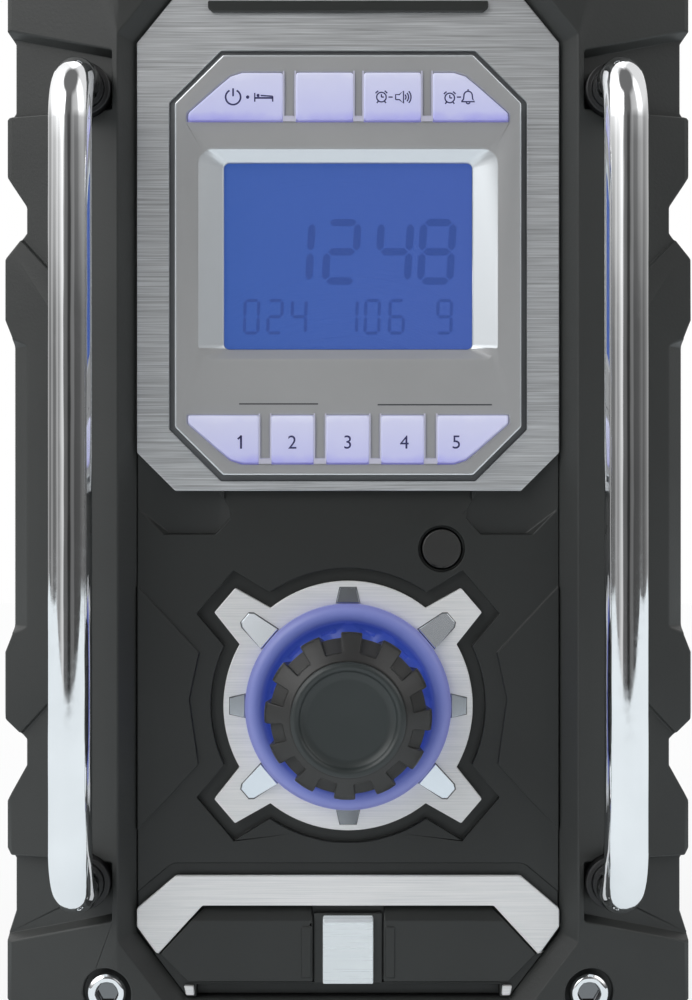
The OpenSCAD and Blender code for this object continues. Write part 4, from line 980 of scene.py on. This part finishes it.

# The hexagon sockets in the bolts' heads are painted dark, as painted shade in their
# recesses.
bolt_steel = chrome.copy()
bolt_steel.name = "bolt_steel"
tree = bolt_steel.node_tree
surface = tree.nodes["Principled BSDF"]
bolts_low, bolts_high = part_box("bumper_bolts")
half = (bolts_high - bolts_low) / 2
head_radius, socket_radius = 0.0047, 0.0028
squares = [maths(tree, "MULTIPLY", past, past) for past in
           beyond_box(tree, axes(tree, (bolts_low + bolts_high) / 2), (half.x, half.z),
                      head_radius)]
off_axis = maths(tree, "SQRT", maths(tree, "ADD", *squares))
# Painted shade: a dark disc over each bolt's hexagon socket.
painted_socket_shade = maths(tree, "LESS_THAN", off_axis, socket_radius)
shade = surface.inputs["Base Color"].links[0].from_socket
link(tree, mixed(tree, painted_socket_shade, shade, (0.2, 0.205, 0.21)),
     surface.inputs["Base Color"])
eased("bumper_bolts", bolt_steel, "chrome", 0.00025)

# ==== Carry handle =================================================================
# A stiff plastic bow that turns on two steel pins, with a soft ribbed sleeve round its
# beam. The other small steel pieces share the look of its pins.
handle_plastic = moulded("handle_plastic", srgb(42, 42, 43), 0.4)
eased("carry_handle", handle_plastic, "handle_plastic", 0.0008, 3)
grip_rubber = moulded("grip_rubber", srgb(54, 55, 55), 0.55, grain=1100, depth=0.00006)
eased("handle_grip", grip_rubber, "grip_rubber", 0.0006)


def steel(name, colour, roughness):
    """Plain turned or pressed steel: faint mottling in shade and polish."""
    material, tree, surface = new_material(name)
    surface.inputs["Metallic"].default_value = 1
    mottle = noise(tree, place(tree), 500, 3)
    metal = np.array(colour)
    link(tree, ramp(tree, mottle, [(0.3, tuple(metal * 0.9)),
                                   (0.7, tuple(np.minimum(metal * 1.08, 1)))]),
         surface.inputs["Base Color"])
    link(tree, shift_range(tree, mottle, roughness - 0.06, roughness + 0.06),
         surface.inputs["Roughness"])
    return material


plain_steel = steel("plain_steel", srgb(190, 191, 194), 0.32)
for part in ("handle_pivots", "hinge_pins", "encoder_plunger", "encoder_shaft",
             "encoder_body", "usb_port"):
    eased(part, plain_steel, "steel", 0.0001, 1)

# ==== Antenna ======================================================================
# A flexible whip in one piece, moulded over with rubber. It turns on a steel pin and
# folds down into its channel in the top of the case.
antenna_rubber = moulded("antenna_rubber", srgb(34, 34, 35), 0.5, grain=1600)
eased("antenna_rod", antenna_rubber, "antenna_rubber", 0)

# ==== Speakers =====================================================================
# Perforated steel grilles, painted grey, in front of the pressed steel drivers with
# their ribbed paper cones.
grille_paint = moulded("grille_paint", srgb(66, 67, 69), 0.34, grain=2600, depth=0.00002)
grille_paint.node_tree.nodes["Principled BSDF"].inputs["Metallic"].default_value = 0.5
driver_steel = steel("driver_steel", srgb(120, 121, 124), 0.4)
for side in ("left", "right"):
    eased(side + "_grille", grille_paint, "grille_steel", 0.00025, 1)
    eased(side + "_speaker", driver_steel, "speaker_steel", 0.0002, 1)
cone_paper = moulded("cone_paper", srgb(40, 40, 43), 0.6, grain=1200, depth=0.00005)
tree = cone_paper.node_tree
surface = tree.nodes["Principled BSDF"]
cones_low, cones_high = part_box("speaker_cones")
off_axis = distance(tree, (0, 1, 1), (0, 0, (cones_low.z + cones_high.z) / 2))
rings = maths(tree, "SINE", maths(tree, "MULTIPLY", off_axis, 1600))
fibres = noise(tree, place(tree), 900, 4)
bump(tree, surface, maths(tree, "MULTIPLY_ADD", rings, 0.5,
                          maths(tree, "MULTIPLY", fibres, 0.8)), 0.0002)
eased("speaker_cones", cone_paper, "cone", 0)

# ==== Rear: battery door, sockets ==================================================
# A ribbed door on two knuckles with a slide latch, over the battery's contact block, and
# the mains socket under a soft cover.
door_plastic = moulded("door_plastic", srgb(48, 49, 49), 0.44)
eased("battery_door", door_plastic, "door_plastic", 0.0005)
latch_plastic = moulded("latch_plastic", srgb(92, 93, 95), 0.38)
eased("door_latch", latch_plastic, "latch_plastic", 0.0004)
socket_plastic = moulded("socket_plastic", srgb(32, 32, 34), 0.36)
for socket in ("aux_jack", "dc_jack", "battery_terminal"):
    eased(socket, socket_plastic, "socket_plastic", 0.0002)

# ==== Circuit boards ===============================================================
# The board that the keys press on and the power board on posts in the case's floor:
# glass fibre under green lacquer, with a grid of paler tracks showing through.
board_green, tree, surface = new_material("board_green")
surface.inputs["Roughness"].default_value = 0.3
tracks = tree.nodes.new("ShaderNodeTexBrick")
tracks.inputs["Scale"].default_value = 220
tracks.inputs["Mortar Size"].default_value = 0.08
tracks.inputs["Color1"].default_value = (*srgb(22, 84, 50), 1)
tracks.inputs["Color2"].default_value = (*srgb(26, 92, 54), 1)
tracks.inputs["Mortar"].default_value = (*srgb(44, 122, 70), 1)
link(tree, place(tree), tracks.inputs["Vector"])
link(tree, tracks.outputs["Color"], surface.inputs["Base Color"])
for board in ("control_board", "main_board"):
    eased(board, board_green, "board", 0.0001, 1)

# ==== Feet =========================================================================
# Four round pads of soft rubber fixed under the corners of the case, with a coarse
# matte grain so that they grip.
foot_rubber = moulded("foot_rubber", srgb(30, 30, 31), 0.7, grain=1000, depth=0.00008)
eased("feet", foot_rubber, "foot_rubber", 0.0003)
